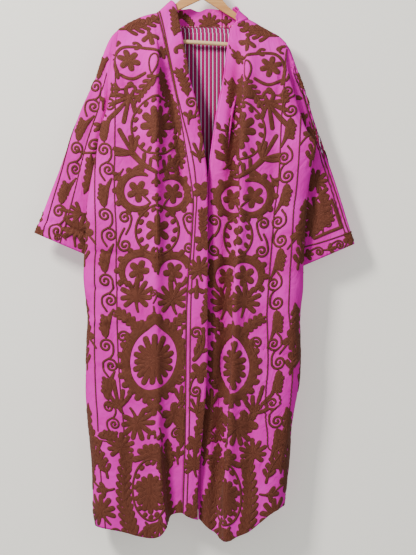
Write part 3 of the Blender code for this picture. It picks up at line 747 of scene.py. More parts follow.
def fan(length, count, spread_angle, heading=90, width=5.0, sides=0.82, core=7.0):
    """Rounded fingers spread round a point, the middle one the longest."""
    strokes = []
    for k in range(count):
        part = 2 * k / (count - 1) - 1
        reach = length * mix(1, sides, part * part) * (1 - 0.06 * (k % 2))
        strokes.append(finger((0, 0), heading + part * spread_angle / 2, reach, width))
    return strokes + [trail((0, -1), heading, 4, 0, core)]


def hand(wrist, heading, width, *reaches):
    """Loose fingers from one point: each one's turn from the heading, length and curl."""
    return [finger(wrist, heading + turn, length, width, curl)
            for turn, length, curl in reaches]


def bearing(line, k):
    """Heading of a line at one of its points, in degrees."""
    return math.degrees(math.atan2(*(line[k + 1] - line[k - 1])[::-1]))


def leafy(stem, places, turn, length, width, curl=0, sides=(-1, 1)):
    """A stem with fingers at some of its points, on both sides or on one."""
    return [stem] + [finger(stem[0][k], bearing(stem[0], k) + side * turn, length(k), width,
                            -side * curl) for k in places for side in sides]


def spiral(reach, start, sweep, shrink, ease, count):
    """A line that winds in towards its middle."""
    t = np.linspace(0, 1, count)
    return around(reach * (1 - shrink * t ** ease), start + sweep * t)


def moved(strokes, up=0, size=1, weight=1):
    return [(points * size + (0, up), half * weight) for points, half in strokes]


def palmette():
    """Nine round fingers over a short stem."""
    return fan(35, 9, 262, width=4.9, core=10) + [trail((0, -4), 270, 24, 24, 3.8, 2.4)]


def flower():
    """Six fingers round a small heart."""
    return [finger((0, 0), 90 + 60 * k, 23, 6.0) for k in range(6)] + [
        trail((-2, 0), 0, 4, 0, 7)]


def bloom():
    """A flower of five wide petals on a bent stem."""
    return [finger((0, 0), 60 + 72 * k, 24, 7.4) for k in range(5)] + [
        trail((0, 0), -35, 40, -20, 3.0, 2.2)]


def scroll():
    """A thin spiral with a tail that leads down from it."""
    line = spiral(15, -20, 530, 0.80, 1.0, 34)
    return [through((2, -36), (10, -20), tuple(line[0]), width=2.5),
            (line, np.linspace(2.5, 3.2, len(line)))]


def hook():
    """A comma: a stem that curls round into a bud."""
    return [trail((0, 0), 96, 40, -220, 4.6, 3.4), trail((15, 14), 200, 3, 0, 6)]


def coil(centre, reach, start, sweep, *lead):
    """A thin spiral that winds in to its centre, after a lead-in line."""
    wound = spiral(reach, start, sweep, 0.84, 0.9, 32) + centre
    line = np.concatenate((through(*lead, tuple(wound[0]))[0][:-1], wound))
    return line, np.linspace(2.4, 3.0, len(line))


def flame():
    """A fat leaf on its tip, with round teeth down one side and a tail at the other."""
    strokes = [trail((0, 0), 96, 46, -10, 1.6, 7.0, 9.5),
               through((2, 26), (6, 42), (12, 56), (19, 70), width=8.5, tip=2.6)]
    return strokes + [finger((-1, 14 + 10 * k), 146 - 5 * k, 18 - k, 4.8) for k in range(4)]


def vine():
    """Two coils on a thin stem that leads from one border leaf down to the next."""
    return [coil((0, -19), 18, 0, 560, (8, -50), (17, -36)),
            coil((11, -66), 16, 100, -520, (6, -49)),
            through((6, -49), (-8, -60), (-8, -76), (3, -93), width=2.4)]


def leaf():
    """A long curved leaf with teeth down both sides."""
    stem, half = trail((0, 0), 78, 92, 34, 2.0, 2.4, 9.5)
    return leafy((stem, half), range(3, len(stem) - 3, 5), 42, lambda k: 15 + 0.7 * half[k], 5.2)


def frond():
    """A bending stem with finger leaves in pairs."""
    stem = trail((0, 0), 80, 80, 38, 3.6, 2.6)
    return leafy(stem, range(4, len(stem[0]) - 2, 5), 46, lambda k: 26 - 0.4 * k, 4.6, 16) + [
        finger(stem[0][-1], 118, 18, 4.8)]


def long_frond():
    """A tall frond that leans in over a ring, its fingers close together."""
    stem = trail((0, 0), 108, 205, -28, 7.0, 3.6)
    return leafy(stem, range(2, len(stem[0]) - 2, 6), 44, lambda k: 34 - 0.16 * k, 5.3, 20)


def wing():
    """Half a leaf: fingers along the outer side of a bent stem."""
    stem = trail((0, 0), 40, 66, 62, 5.4, 3.0)
    return leafy(stem, range(2, len(stem[0]) - 1, 5), 58, lambda k: 27 - 0.3 * k, 4.6, 22,
                 (1,)) + [finger(stem[0][-1], 96, 18, 4.8), finger(stem[0][7], 20, 20, 4.6)]


def cup():
    """A thick scalloped ring, open at one side, round a flower of five petals."""
    t = np.linspace(0, 1, 40)
    heading = 58 + 256 * t
    rim = around(38, heading)
    strokes = [(rim, 2.6 + 6.0 * np.sin(math.pi * t) ** 0.7)]
    strokes += [finger(rim[k], heading[k] + 16, 17, 6.4) for k in range(3, 38, 5)]
    return strokes + moved(bloom(), weight=0.95)


def sprig():
    """Three short fingers on a thread of stem."""
    return fan(23, 3, 116, width=4.8, core=5) + [trail((0, 0), 265, 18, 24, 3.0, 2.2)]


def fingers():
    """Loose long fingers hanging from one point."""
    return hand((0, 0), 90, 5.2, (-64, 46, 12), (-34, 48, 8), (-2, 74, -8), (20, 62, 6),
                (62, 40, -14)) + [trail((0, 0), 262, 16, 40, 6, 3)]


def branch():
    """A thick bent stem that ends in a hand of fingers, with small ones along it."""
    stem, half = trail((0, 0), 152, 72, -22, 4.0, 6.5)
    return [(stem, half)] + hand(stem[-1], 128, 5.0, (-62, 34, 20), (-36, 40, 14), (-8, 62, 0),
                                 (34, 44, 12), (62, 40, -14)) + [
        finger(stem[6], 84, 24, 4.8), finger(stem[12], 88, 26, 4.8),
        finger(stem[14], 232, 26, 5.0, -24)]


def drop():
    """A teardrop drawn in one thin line."""
    return [through((0, -26), (-8, -12), (-12, 6), (-7, 20), (2, 24), (9, 17), (10, 2),
                    (6, -12), (0, -26), width=2.3)]


def dotted_ring(wide=66, tall=66):
    """A thin ring with a row of buds inside it."""
    def oval(part, less):
        angle = 2 * math.pi * part
        return np.stack(((wide - less) * np.sin(angle), (tall - less) * np.cos(angle)), axis=-1)
    t = np.linspace(0, 1, int((wide + tall) * 1.1))
    buds = int((wide + tall) / 7.4)
    return [(oval(t, 0), 0 * t + 2.7)] + [
        trail(oval(np.array((k + 0.5) / buds), 8.0) - (1.2, 1.2), 45, 3.4, 0, 5.0)
        for k in range(buds)]


def medallion():
    """The dotted ring round a great fan on a leafy foot."""
    great = fan(50, 6, 170, width=8.0, sides=0.95, core=12)
    foot = [finger((0, -6), 270 + a, 38 - abs(a) * 0.1, 7.2) for a in (-66, -24, 24, 66)]
    return dotted_ring() + moved(great + foot, up=-3)


def small_medallion():
    """A smaller ring round one flower."""
    return dotted_ring(54, 54) + moved(flower(), size=1.5, weight=1.3) + [
        trail((0, 30), 88, 14, 10, 2.6)]


def wreath():
    """A pointed ring of leaf round a sun of many fingers."""
    t = np.linspace(0, 1, 150)
    turn = 2 * math.pi * t
    peak = 9 * np.exp(-(np.minimum(t, 1 - t) / 0.035) ** 2)
    ring = np.stack((66 * np.sin(turn), 81 * np.cos(turn) + peak), axis=1)
    strokes = [(ring, 0 * t + 9.8)]
    for k in range(5, 147, 6):
        out = math.degrees(math.atan2(ring[k, 1], ring[k, 0]))
        strokes.append(finger(ring[k], out + (24 if k < 75 else -24), 21, 7.0))
    for k in range(16):
        angle = 90 + 22.5 * k
        up, side = math.sin(math.radians(angle)), math.cos(math.radians(angle))
        reach = 1 / math.hypot(side / 49, up / (66 if up > 0 else 59))
        strokes.append(finger((0, -4), angle, reach * (1 if k % 2 else 0.92), 6.5))
    return strokes + [trail((-4, -4), 0, 8, 0, 15)]


def low_medallion():
    """A tall dotted ring with a palmette, under an arch of leaves."""
    inside = fan(39, 9, 240, width=6.6, core=12)
    foot = [finger((0, -8), 270 + a, 50 - abs(a) * 0.2, 6.6) for a in (-50, -22, 0, 22, 50)]
    arch = fan(28, 7, 210, width=6.8, sides=1.7, core=10)
    return dotted_ring(43, 74) + inside + foot + moved(arch, up=84)


THREAD_STEP = 3.8
THREAD_RISE = 1.4
THREAD_UNEVEN = 0.1
THREAD_SHIFT = 37
CREST_SHARE = 0.5
# Seven points across a stroke, in half widths, and their heights. A tip then tapers over
# two sections: how far past the stroke's end, how wide and how high each one stands.
ACROSS = np.array((-1, -0.76, -0.42, 0, 0.42, 0.76, 1))
ROUNDED = np.array((-0.45, 0.55, 0.93, 1, 0.93, 0.55, -0.45))
TIP = ((0.5, 0.84, 0.9), (0.87, 0.45, 0.5))


def evenly(points, half):
    """A stroke with sections at even steps, and its two rounded ends."""
    lengths = np.pad(np.cumsum(np.linalg.norm(np.diff(points, axis=0), axis=1)), (1, 0))
    at = np.linspace(0, lengths[-1], max(2, int(round(lengths[-1] / THREAD_STEP)) + 1))
    line = np.stack([np.interp(at, lengths, points[:, k]) for k in (0, 1)], axis=1)
    half = np.interp(at, lengths, half)
    if np.allclose(line[0], line[-1]):
        run = np.gradient(np.concatenate((line[-2:-1], line, line[1:2])), axis=0)[1:-1]
        return line, half, at, run, 1.0 + 0 * at
    run = np.gradient(line, axis=0)
    run /= np.linalg.norm(run, axis=1, keepdims=True) + 1e-9
    head = [(line[0] - run[0] * half[0] * s, half[0] * w, -half[0] * s, run[0], h)
            for s, w, h in TIP[::-1]]
    tail = [(line[-1] + run[-1] * half[-1] * s, half[-1] * w, at[-1] + half[-1] * s, run[-1], h)
            for s, w, h in TIP]
    body = list(zip(line, half, at, run, 1.0 + 0 * at))
    return tuple(np.array(column) for column in zip(*(head + body + tail)))


def onto_cloth(panel, centre, spot):
    """Places across a stroke, drawn in towards its middle where the cloth ends."""
    good, bad = centre + 0 * spot, spot
    off = panel.place(spot)[..., 1] < 0
    for _ in range(6):
        half_way = (good + bad) / 2
        on = (panel.place(half_way)[..., 1] >= 0)[..., None]
        good, bad = np.where(on, half_way, good), np.where(on, bad, half_way)
    return np.where(off[..., None], good, spot)


def sew(name, panel, work, finish=None):
    """The panel's embroidery as one raised piece, from strokes placed on its chart."""
    sections = []
    for number, (points, half) in enumerate(work):
        line, half, at, run, rise = evenly(points, half)
        run = run / (np.linalg.norm(run, axis=1, keepdims=True) + 1e-9)
        over = np.stack((-run[:, 1], run[:, 0]), axis=1)
        centre = line[:, None]
        spot = onto_cloth(panel, centre, centre
                          + over[:, None] * half[:, None, None] * ACROSS[:, None])
        row, column = np.moveaxis(panel.place(spot), -1, 0)
        lift = THREAD_RISE * rise * (1 + THREAD_UNEVEN * (number * 7 % 5 - 2))
        base, normal = bilinear(panel.points, row, column), bilinear(panel.normal, row, column)
        over_crest = CREST_SHARE * bilinear(panel.crest, row, column)
        shape = base + normal * (ROUNDED * lift[:, None] + over_crest)[..., None]
        across = half[:, None] * ACROSS
        along_thread = at[:, None] + 0 * across + THREAD_SHIFT * (number % 11)
        sections.append((shape, across, along_thread, panel.place(line)[:, 1] >= 0))
    shape, across, along_thread, fit = (np.concatenate(column) for column in zip(*sections))
    starts = np.cumsum([len(s[0]) for s in sections])[:-1] - 1
    joined = fit[:-1] & fit[1:]
    joined[starts] = False
    bm = bmesh.new()
    bmesh.ops.create_grid(bm, x_segments=len(ACROSS) - 1, y_segments=len(shape) - 1, size=1)
    for vert, point in zip(bm.verts, shape.reshape(-1, 3)):
        vert.co = point * MM
    bm.verts.index_update()
    thread = bm.loops.layers.uv.new("stitch")
    unused = []
    for face in bm.faces:
        rows = [loop.vert.index // len(ACROSS) for loop in face.loops]
        if not joined[min(rows)]:
            unused.append(face)
            continue
        for loop in face.loops:
            r, k = divmod(loop.vert.index, len(ACROSS))
            loop[thread].uv = (across[r, k] * MM, along_thread[r, k] * MM)
    bmesh.ops.delete(bm, geom=unused, context="FACES_ONLY")
    loose = [v for v in bm.verts if not v.link_faces]
    bmesh.ops.delete(bm, geom=loose, context="VERTS")
    piece = add_piece(name, bm, [finish or brown_thread])
    return piece


ROW_WIDTH = 3.0
STITCH_LENGTH = 4.2
ROW_STAGGER = 0.37
# The thread's browns run from painted shade in the grooves, through the thread's own brown, to a
# painted highlight on the loops' crowns.
BROWNS_SHADED_TO_LIT = ((0.2, (0.031, 0.0055, 0.0035)), (0.55, (0.094, 0.020, 0.011)),
          (0.95, (0.225, 0.072, 0.042)))


def chain_stitch_group():
    """Rows of chain stitches, from a map across and along a stroke in metres, with a tone that is
    painted shade in the grooves and a painted highlight on the loops' crowns, mixed with uneven
    strands.
    """
    group, stitch, end = new_group("chain_stitch_rows", "Stitch", "Height", "Tone")
    split = add_node(group, "ShaderNodeSeparateXYZ", Vector=stitch)
    rows = reckon(group, "MULTIPLY_ADD", split.outputs["X"], 1000 / ROW_WIDTH, 0.5)
    row_turn = reckon(group, "MULTIPLY", reckon(group, "FLOOR", rows), ROW_STAGGER)
    links = reckon(group, "MULTIPLY_ADD", split.outputs["Y"], 1000 / STITCH_LENGTH, row_turn)
    ridge, loop_rise = (
        reckon(group, "SINE", reckon(group, "MULTIPLY", reckon(group, "FRACT", count), math.pi))
        for count in (rows, links))
    loops = reckon(group, "MULTIPLY_ADD", loop_rise, 0.4, 0.6)
    height = reckon(group, "MULTIPLY", ridge, loops)
    strands = stretched_noise(group, stitch, (420, 90, 1), Detail=3.0, Roughness=0.65)
    # The tone rises with the stitch height: painted shade in the grooves between rows and loops,
    # painted highlight on their crowns, plus random strand tone.
    connect(group, end, Height=height,
            Tone=reckon(group, "MULTIPLY_ADD", height, 0.55,
                        reckon(group, "MULTIPLY", strands, 0.75)))
    return group


brown_thread, tree, shader = new_shader("brown_chain_stitch", Roughness=0.72,
                                        Sheen_Weight=0.06, Specular_IOR_Level=0.18)
chain = add_group(tree, chain_stitch_group(), Stitch=uv_map(tree, "stitch"))
# The thread's colour is painted darker in its grooves and lighter on its crowns, from the stitch
# height, besides its uneven strands.
connect(tree, shader, Base_Color=colour_steps(tree, chain.outputs["Tone"], BROWNS_SHADED_TO_LIT),
        Normal=bumped(tree, chain.outputs["Height"], 0.9, 0.0006))

FIGURES = {figure.__name__: figure for figure in (
    medallion, small_medallion, wreath, low_medallion, palmette, flower, bloom, scroll, hook,
    flame, leaf, frond, wing, cup, sprig, fingers, branch, drop, dotted_ring, vine, long_frond)}

# Where the figures lie on the right front, from the middle of its great rings: right
# and down in millimetres, then turn and size. A star mirrors a figure, and the left
# front mirrors them all.
FRONT_WORK = """
frond -76 42 -84 1.1
sprig -14 60 188 1.4
hook -106 72 -60 0.85
hook -54 80 -80 0.8
palmette -44 30 10 0.7
flower -72 124 10 1.2
sprig -104 196 90 0.9
drop -12 138 -10 1.05
flower 20 106 20 0.7
sprig 50 92 30 0.9
frond 4 166 122 1.0
hook -82 206 24 1.2
fingers -74 214 144 1.1
leaf 14 146 200 0.95
medallion 0 287 0 1.06
branch -4 402 0 1.12
branch* 8 402 0 1.0
frond 20 396 -58 0.9
sprig 0 372 0 0.9
sprig -98 404 140 0.9
cup -52 444 0 1.14
cup* 44 450 -8 1.04
sprig -2 470 0 0.8
sprig -4 420 180 0.8
scroll -84 508 0 1.1
scroll* 84 514 0 1.0
small_medallion 0 540 0 1.08
scroll -84 574 180 1.1
scroll* 82 584 180 1.0
cup -47 636 -64 1.1
cup* 42 642 -64 1.06
sprig 0 600 180 0.9
scroll -8 694 0 0.65
hook -92 670 0 0.8
palmette -50 698 0 1.34
palmette 42 708 8 1.34
hook -96 744 20 0.7
sprig -4 744 180 1.0
leaf -38 782 50 0.9
leaf* 36 786 50 0.85
scroll -78 796 0 1.0
wreath 0 852 0 1.05
hook* 86 790 0 0.9
scroll 74 900 120 0.9
fingers -76 968 22 0.95
fingers* 76 958 30 0.8
palmette -32 1002 200 1.36
bloom 6 966 0 0.95
bloom* 62 990 170 1.35
scroll 76 1034 90 0.9
hook -2 1040 0 0.8
leaf 90 1070 4 1.1
sprig 30 1034 200 0.9
low_medallion 5 1166 0 1.0
long_frond -38 1290 0 1.05
long_frond* 58 1268 -14 1.0
frond -100 1140 24 1.0
fingers -136 1112 -10 0.85
sprig -104 1172 100 1.2
palmette -118 1226 30 1.3
scroll -84 1276 60 0.9
leaf -150 1292 20 0.9
bloom -160 1150 20 1.2
wing -182 1236 10 1.1
frond -176 1130 0 1.0
palmette -70 1066 0 1.1
sprig 84 1090 0 1.1
sprig 2 1088 0 0.9
fingers 26 1246 168 0.95
fingers -4 1256 194 0.8
sprig 60 1120 20 1.0
leaf 56 1046 190 0.7
hook -62 1108 0 0.9
"""
BORDER_END = """
flame -168 1042 -84 0.9
vine -136 952 0 0.86
flame -136 952 0 1.0
"""
SIDE_WORK = "\n".join(f"{figure} {right} {210 + shift + 84 * k} {turn} 1.1"
                      for right, shift in ((-192, 0), (-234, 40)) for k, (figure, turn) in
                      enumerate((("leaf", 176), ("bloom", 0), ("frond", 10)) * 4))
ONE_SIDED_WORK = """
leaf 52 214 188 1.05
sprig 64 340 20 1.1
sprig 66 372 200 1.0
leaf 98 1200 178 1.0
"""
BORDER_MIDDLE = -136
BORDER_TIPS = (12, 170, 328, 486, 644, 802)
BORDER_LINES = (((-108, 10), (-110, 300), (-109, 700), (-103, 1056)),
                ((-160, 20), (-158, 400), (-163, 700), (-167, 1030)),
                ((-204, 1050), (-167, 1052), (-103, 1056)),
                ((-168, 1052), (-166, 1180), (-163, 1296)))
ARCHES = (((-103, 168), (-103, 112), (-84, 92), (-52, 90), (-24, 97), (4, 106)),
          ((-103, 158), (-70, 170), (-36, 158)))
ARCH_WIDTH = 5.0
BOLD = 1.31


def laid(listed, axis, flip=1):
    """Strokes of a list of figures, placed from an axis that may lean down the cloth."""
    strokes = []
    for line in filter(None, listed.split("\n")):
        figure, *numbers = line.split()
        right, down, turn, size = (float(n) for n in numbers)
        turned = np.array(Matrix.Rotation(math.radians(-turn), 2))
        mirror = -1 if figure.endswith("*") else 1
        for points, half in FIGURES[figure.strip("*")]():
            points = points * size @ turned * (flip * mirror, -1)
            points = points + (flip * right, down)
            points[:, 0] += axis(points[:, 1])
            strokes.append((points, half * size ** 0.6 * BOLD))
    return strokes


def lines(axis, flip, *rows, width=2.0):
    """Chain lines through (right, down) places from the same axis."""
    strokes = []
    for places in rows:
        points, half = through(*places, width=width)
        points = points * (flip, 1)
        points[:, 0] += axis(points[:, 1])
        strokes.append((points, half))
    return strokes


def border(axis, flip, middle, tips, turn=0):
    """Leaves and coils down a border column between its two lines."""
    listed = "\n".join(f"{figure} {middle} {tip} {turn} 1.0"
                       for tip in tips for figure in ("flame", "vine"))
    return laid(listed, axis, flip)


def leaning_axis(*places):
    """A line down the cloth through (down, right) places, to lay figures from."""
    downs, rights = zip(*places)
    return lambda down: np.interp(down, downs, rights)


right_axis = leaning_axis((0, 0), (650, 0), (844, -8), (1164, -37), (1300, -42))
column_axis = leaning_axis((400, 0), (700, 9), (844, 11), (1000, 15))
right_work = laid(FRONT_WORK, right_axis) + laid(BORDER_END + SIDE_WORK, column_axis)
right_work += border(column_axis, 1, BORDER_MIDDLE, BORDER_TIPS)
right_work += laid(ONE_SIDED_WORK, right_axis)
right_work += lines(column_axis, 1, *BORDER_LINES)
right_work += lines(right_axis, 1, *ARCHES, width=ARCH_WIDTH)
stitches = sew("right_front_embroidery", right_front, right_work)
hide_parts("front_right")

# The right band is a doubled straight strip of the same cloth, sewn to the
# front's edge from the neck point to the hem. Its work runs down it in one row.
BAND_THICKNESS = 2.4
BAND_WORK = """
leaf 24 66 -14 0.78
hook 20 108 0 0.95
leaf 34 164 -16 0.85
leaf 26 218 6 0.78
scroll 32 236 0 0.95
leaf 40 336 -14 1.0
sprig 22 272 -20 0.9
fingers 30 372 -10 0.62
leaf 42 438 -20 0.8
bloom 24 452 0 0.95
hook 34 504 0 0.85
leaf 24 556 -2 0.7
bloom 32 576 30 1.05
palmette 27 644 10 1.0
sprig 24 688 180 1.2
leaf 40 774 -14 1.0
scroll 26 796 0 1.05
wing 22 860 0 1.0
bloom 36 892 0 1.1
scroll 26 936 180 1.0
fingers 30 990 0 0.6
leaf 27 1048 -18 1.0
bloom 27 1066 0 1.0
palmette 27 1118 0 1.0
leaf 27 1214 -20 0.95
bloom 27 1230 0 1.0
"""
BAND_LINES = (((6, 4), (6, 250), (12, 330), (14, 390), (9, 480), (11, 700), (11, 1250)),
              ((1.5, 4), (1.5, 600), (1.5, 1250)))
right_band = Panel(parted(right_fine, right_seam, slice(right_seam, None), 1), -1, 0,
                   plain=right_plain[:, right_seam:])
piece = lay_cloth("right_band_cloth", right_band, cotton, cotton, BAND_THICKNESS)
straight = leaning_axis((0, 0))
band_work = laid(BAND_WORK, straight) + lines(straight, 1, *BAND_LINES)
stitches = sew("right_band_embroidery", right_band, band_work)
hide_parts("band_right")

# The left front is cut and lined like the right one. Its ridge stands further in,
# and its neck edge runs in under the other front.
LEFT_SIDE = Table(
    "height roll tuck front_y back_y",
    (-226, 192, -6, -14, 12),
    (-285, 199, -2, -24, 15),
    (-351, 216, 13, -29, 17),
    (-403, 231, 27, -32, 18),
    (-435, 243, 36, -34, 18),
    (-476, 267, 56, -35, 18),
    (-500, 264, 52, -34, 18),
    (-557, 253, 43, -32, 18),
    (-633, 244, 37, -30, 18),
    (-721, 239, 33, -28, 17),
    (-770, 238, 25, -25, 16),
    (-815, 238, 10, -20, 12),
    (-863, 233, 2, -16, 9),
    (-910, 230, 0, -14, 8),
    (-993, 231, 0, -14, 8),
    (-1086, 224, 0, -14, 8),
    (-1130, 213, 0, -14, 8),
    (-1255, 202, 0, -14, 8),
    (-1351, 192, 0, -14, 8),
)
LEFT_FRONT = Table(
    "height plane_y ridge ridge_y foot_y seam seam_y",
    (-164.5, -14, 120, -14, -13, 102, -12),
    (-170, -15, 115, -15, -13, 91, -12),
    (-176, -16, 111.5, -17, -13.5, 75, -12.5),
    (-182, -17, 108, -19, -14, 64.5, -13),
    (-194, -19, 104, -23, -14.5, 60.5, -14),
    (-228, -25, 101.5, -34, -17, 54, -15.5),
    (-268, -32, 101, -43, -19, 48, -17),
    (-320, -38, 97, -49, -20.5, 42, -18.5),
    (-371, -42, 93, -53, -21.5, 30.5, -20),
    (-447, -45, 90, -56, -22, 18.5, -21),
    (-557, -47, 84.5, -57, -23, 5, -22),
    (-679, -47, 76, -57, -24, -2, -22.5),
    (-841, -46, 67, -57, -24.5, -5, -22.5),
    (-973, -46, 63, -56, -25, -6, -22.5),
    (-1064, -46, 57.5, -55, -25, -8.5, -22.5),
    (-1130, -46, 51.5, -55, -25, -11.5, -22.5),
    (-1218, -46, 49, -55, -25, -16, -22),
    (-1316, -46, 46, -55, -26, -18, -22),
    (-1434, -46, 46, -55, -29, -16, -22),
)
LEFT_SHOULDER = Table(
    "x height",
    (102, -164.5), (121, -174.5), (141, -187), (163, -198.6), (182, -209.8), (198.5, -226),
)
LEFT_HEM = Table(
    "x height",
    (-16, -1385), (3, -1403), (27, -1420), (37, -1432), (50, -1435), (84, -1419),
    (109, -1410), (136, -1387), (153, -1373), (192, -1350),
)
LEFT_CORNERS = (198.5, 192)
LEFT_FOOT_REACH = 19
TURN_RADIUS = 3.2
LEFT_CREASES = (
    (((89, -222), (82, -373), (76, -447), (73, -537), (74, -618), (65, -721), (57, -851),
      (56, -944), (47, -1128), (40, -1248), (22, -1412)), 19, 7, -19.0),
    (((99, -225), (92, -373), (86, -447), (84, -537), (85, -618), (76, -721), (68, -851),
      (67, -944), (58, -1128), (52, -1248), (36, -1400)), 7, 16, 5.0),
    (((172, -340), (166, -606), (160, -851)), 18, 18, -6.0),
    (((119, -958), (168, -978), (224, -997)), 5, 5, -4.5),
    (((124, -1012), (160, -1020), (200, -1026)), 5, 5, -2.4),
    (((112, -1060), (108, -1200), (96, -1380)), 16, 16, -6.0),
    (((165, -900), (168, -840), (172, -760)), 10, 9, -3.0),
    (((225, -690), (190, -700), (150, -712)), 8, 6, -3.6),
    (((196, -260), (180, -330), (172, -380)), 7, 6, -4.5),
)


def left_front_stations(height):
    """Stations of the left front, from the side seam to the neckline."""
    def size(column):
        return LEFT_FRONT(column, height)
    plane_y, ridge, ridge_y = size("plane_y"), size("ridge"), size("ridge_y")
    roll, seam = LEFT_SIDE("roll", height), size("seam")
    foot = np.maximum(ridge - LEFT_FOOT_REACH, mix(seam, ridge, 0.45))
    near = np.minimum(RIDGE_RISE, 0.3 * (roll - ridge))
    return side_stations(LEFT_SIDE, 1, height, plane_y) + [
        (mix(roll, ridge, 0.4), plane_y),
        (ridge + near, mix(plane_y, ridge_y, 0.55)),
        (ridge, ridge_y),
        (mix(ridge, foot, 0.35), mix(ridge_y, size("foot_y"), 0.55)),
        (foot, size("foot_y")),
        (mix(foot, seam, 0.5), mix(size("foot_y"), size("seam_y"), 0.3) - 1),
        (seam, size("seam_y")),
    ]


# What the left front has beside the figures it shares with the right one.
LEFT_WORK = """
dotted_ring 98 228 0 0.98
palmette 66 322 -20 1.0
frond 44 352 -10 0.8
sprig 70 372 40 0.9
leaf 44 160 190 0.8
sprig -16 204 30 1.1
frond 26 256 160 0.8
bloom -58 988 150 1.3
frond 50 960 178 0.9
"""
LEFT_BORDER_MIDDLE = 131
LEFT_BORDER_TIPS = (90, 253, 416, 572, 722, 868, 1013)
LEFT_BORDER_LINES = (((-106, 10), (-110, 380), (-107, 717), (-107, 1016), (-112, 1062),
                      (-126, 1068)),
                     ((-160, 20), (-156, 400), (-160, 700), (-159, 1024), (-156, 1040)),
                     ((-126, 1068), (-145, 1060), (-156, 1036)))
left_coarse = front_sheet(left_front_stations, columns(FRONT_SPANS[:-1] + (1, 1)), LEFT_SHOULDER,
                          LEFT_HEM, LEFT_CORNERS)
left_coarse[:, -1, 0] += TURN_RADIUS
left_plain, column_at = refine(left_coarse)
left_fine = crease(left_plain, 1, LEFT_CREASES, -1)
left_front = Panel(left_fine, 1, nearest(column_at, RIDGE_COLUMN), plain=left_plain)
piece = lay_cloth("left_front_cloth", left_front, cotton, lining)
left_axis = leaning_axis((0, -14), (375, -12), (730, -20), (852, -8), (1024, 0), (1160, 4))
left_side_axis = leaning_axis((300, -14), (730, -36), (1100, -40))
left_work = laid(FRONT_WORK, left_axis, -1) + laid(SIDE_WORK, left_side_axis, -1)
left_work += border(left_axis, 1, LEFT_BORDER_MIDDLE, LEFT_BORDER_TIPS, 180)
left_work += laid(LEFT_WORK, left_axis, -1) + lines(left_axis, -1, *LEFT_BORDER_LINES)
left_work += lines(left_axis, -1, *ARCHES, width=ARCH_WIDTH)
stitches = sew("left_front_embroidery", left_front, left_work)
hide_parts("front_left")

# The left band is turned in along its seam and lies hidden behind the left front.
# Only its top shows, where it crosses the shoulder.
LEFT_TURN = Table(
    "row turn edge_x edge_y edge_z",
    (0, 0, -34.5, 0, 28.5),
    (1, 0, -26, 0, 31),
    (2, 0.05, -9, 0, 30),
    (3, 0.3, 0, -1, 15),
    (4, 0.9, 24, 8, 8),
    (5, 1, 34, 7.4, 3),
    (6, 1, 39, 7.4, 0),
    (29, 1, 39, 7.4, 0),
)
LEFT_BAND_THICKNESS = 1.9
LEFT_BAND_GAP = 0.45
BAND_CELL = 4
seam, row = left_coarse[:, -1], np.arange(len(left_coarse))
across = np.cross(normals(left_coarse)[:, -1], np.gradient(seam, axis=0))
start = seam - across / np.linalg.norm(across, axis=-1, keepdims=True) * LEFT_BAND_GAP
turn = LEFT_TURN("turn", row)[:, None]
edge = np.stack([LEFT_TURN(f"edge_{axis}", row) for axis in "xyz"], axis=-1)
path = [0 * edge]
for k in range(1, 5):
    angle = math.radians(45 * k)
    folded = np.array((-math.sin(angle), 1 - math.cos(angle), 0)) * TURN_RADIUS
    path.append(mix(edge * k / 16, folded, turn))
path += [mix(path[-1], edge, 0.5), edge]
band_coarse = start[:, None] + np.stack(path, axis=1)
band_coarse[:2, :, 1] = np.minimum(band_coarse[:2, :, 1], -SEAM_GAP / 2)
left_band = Panel(refine(band_coarse, BAND_CELL)[0], 1, 0)
piece = lay_cloth("left_band_cloth", left_band, cotton, cotton, LEFT_BAND_THICKNESS)
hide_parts("band_left")

# The back-neck band is the middle of the same strip. It stands up behind the
# hanger, and its inner side shows from the front, with a magenta tape along it.
NECK = Table(
    "step seam_x seam_y seam_z edge_x edge_y edge_z",
    (0, -119, 0, -150.5, -84.5, 0, -119.7),
    (1, -115, 9, -151.5, -80, 8, -123),
    (2, -104, 14, -160, -75, 13, -130),
    (3, -84, 18, -176, -67, 17, -138),
    (4, -60, 20, -183, -56, 18.5, -140),
    (5, -36, 21, -184, -36, 19.5, -138.5),
    (6, -17, 21.5, -184, -17, 20, -145.5),
    (7, 2, 21.5, -184, 1, 20, -139),
    (8, 33, 21, -184.5, 31, 19.5, -141),
    (9, 64, 19, -186, 57.5, 18, -147),
    (10, 86, 14.5, -178, 64, 14, -143),
    (11, 98.5, 9, -166, 66.5, 8, -138.5),
    (12, 102, 0, -164.5, 67.5, 0, -136),
)


def neck_line(point, gap=0.0):
    """The neck's seam or its free edge, from the right shoulder to the left one."""
    steps = NECK.key
    line = np.stack([NECK(f"{point}_{axis}", steps) for axis in "xyz"], axis=-1)
    line[:, 2] += gap
    line[[0, -1], 1] = SEAM_GAP / 2
    return line


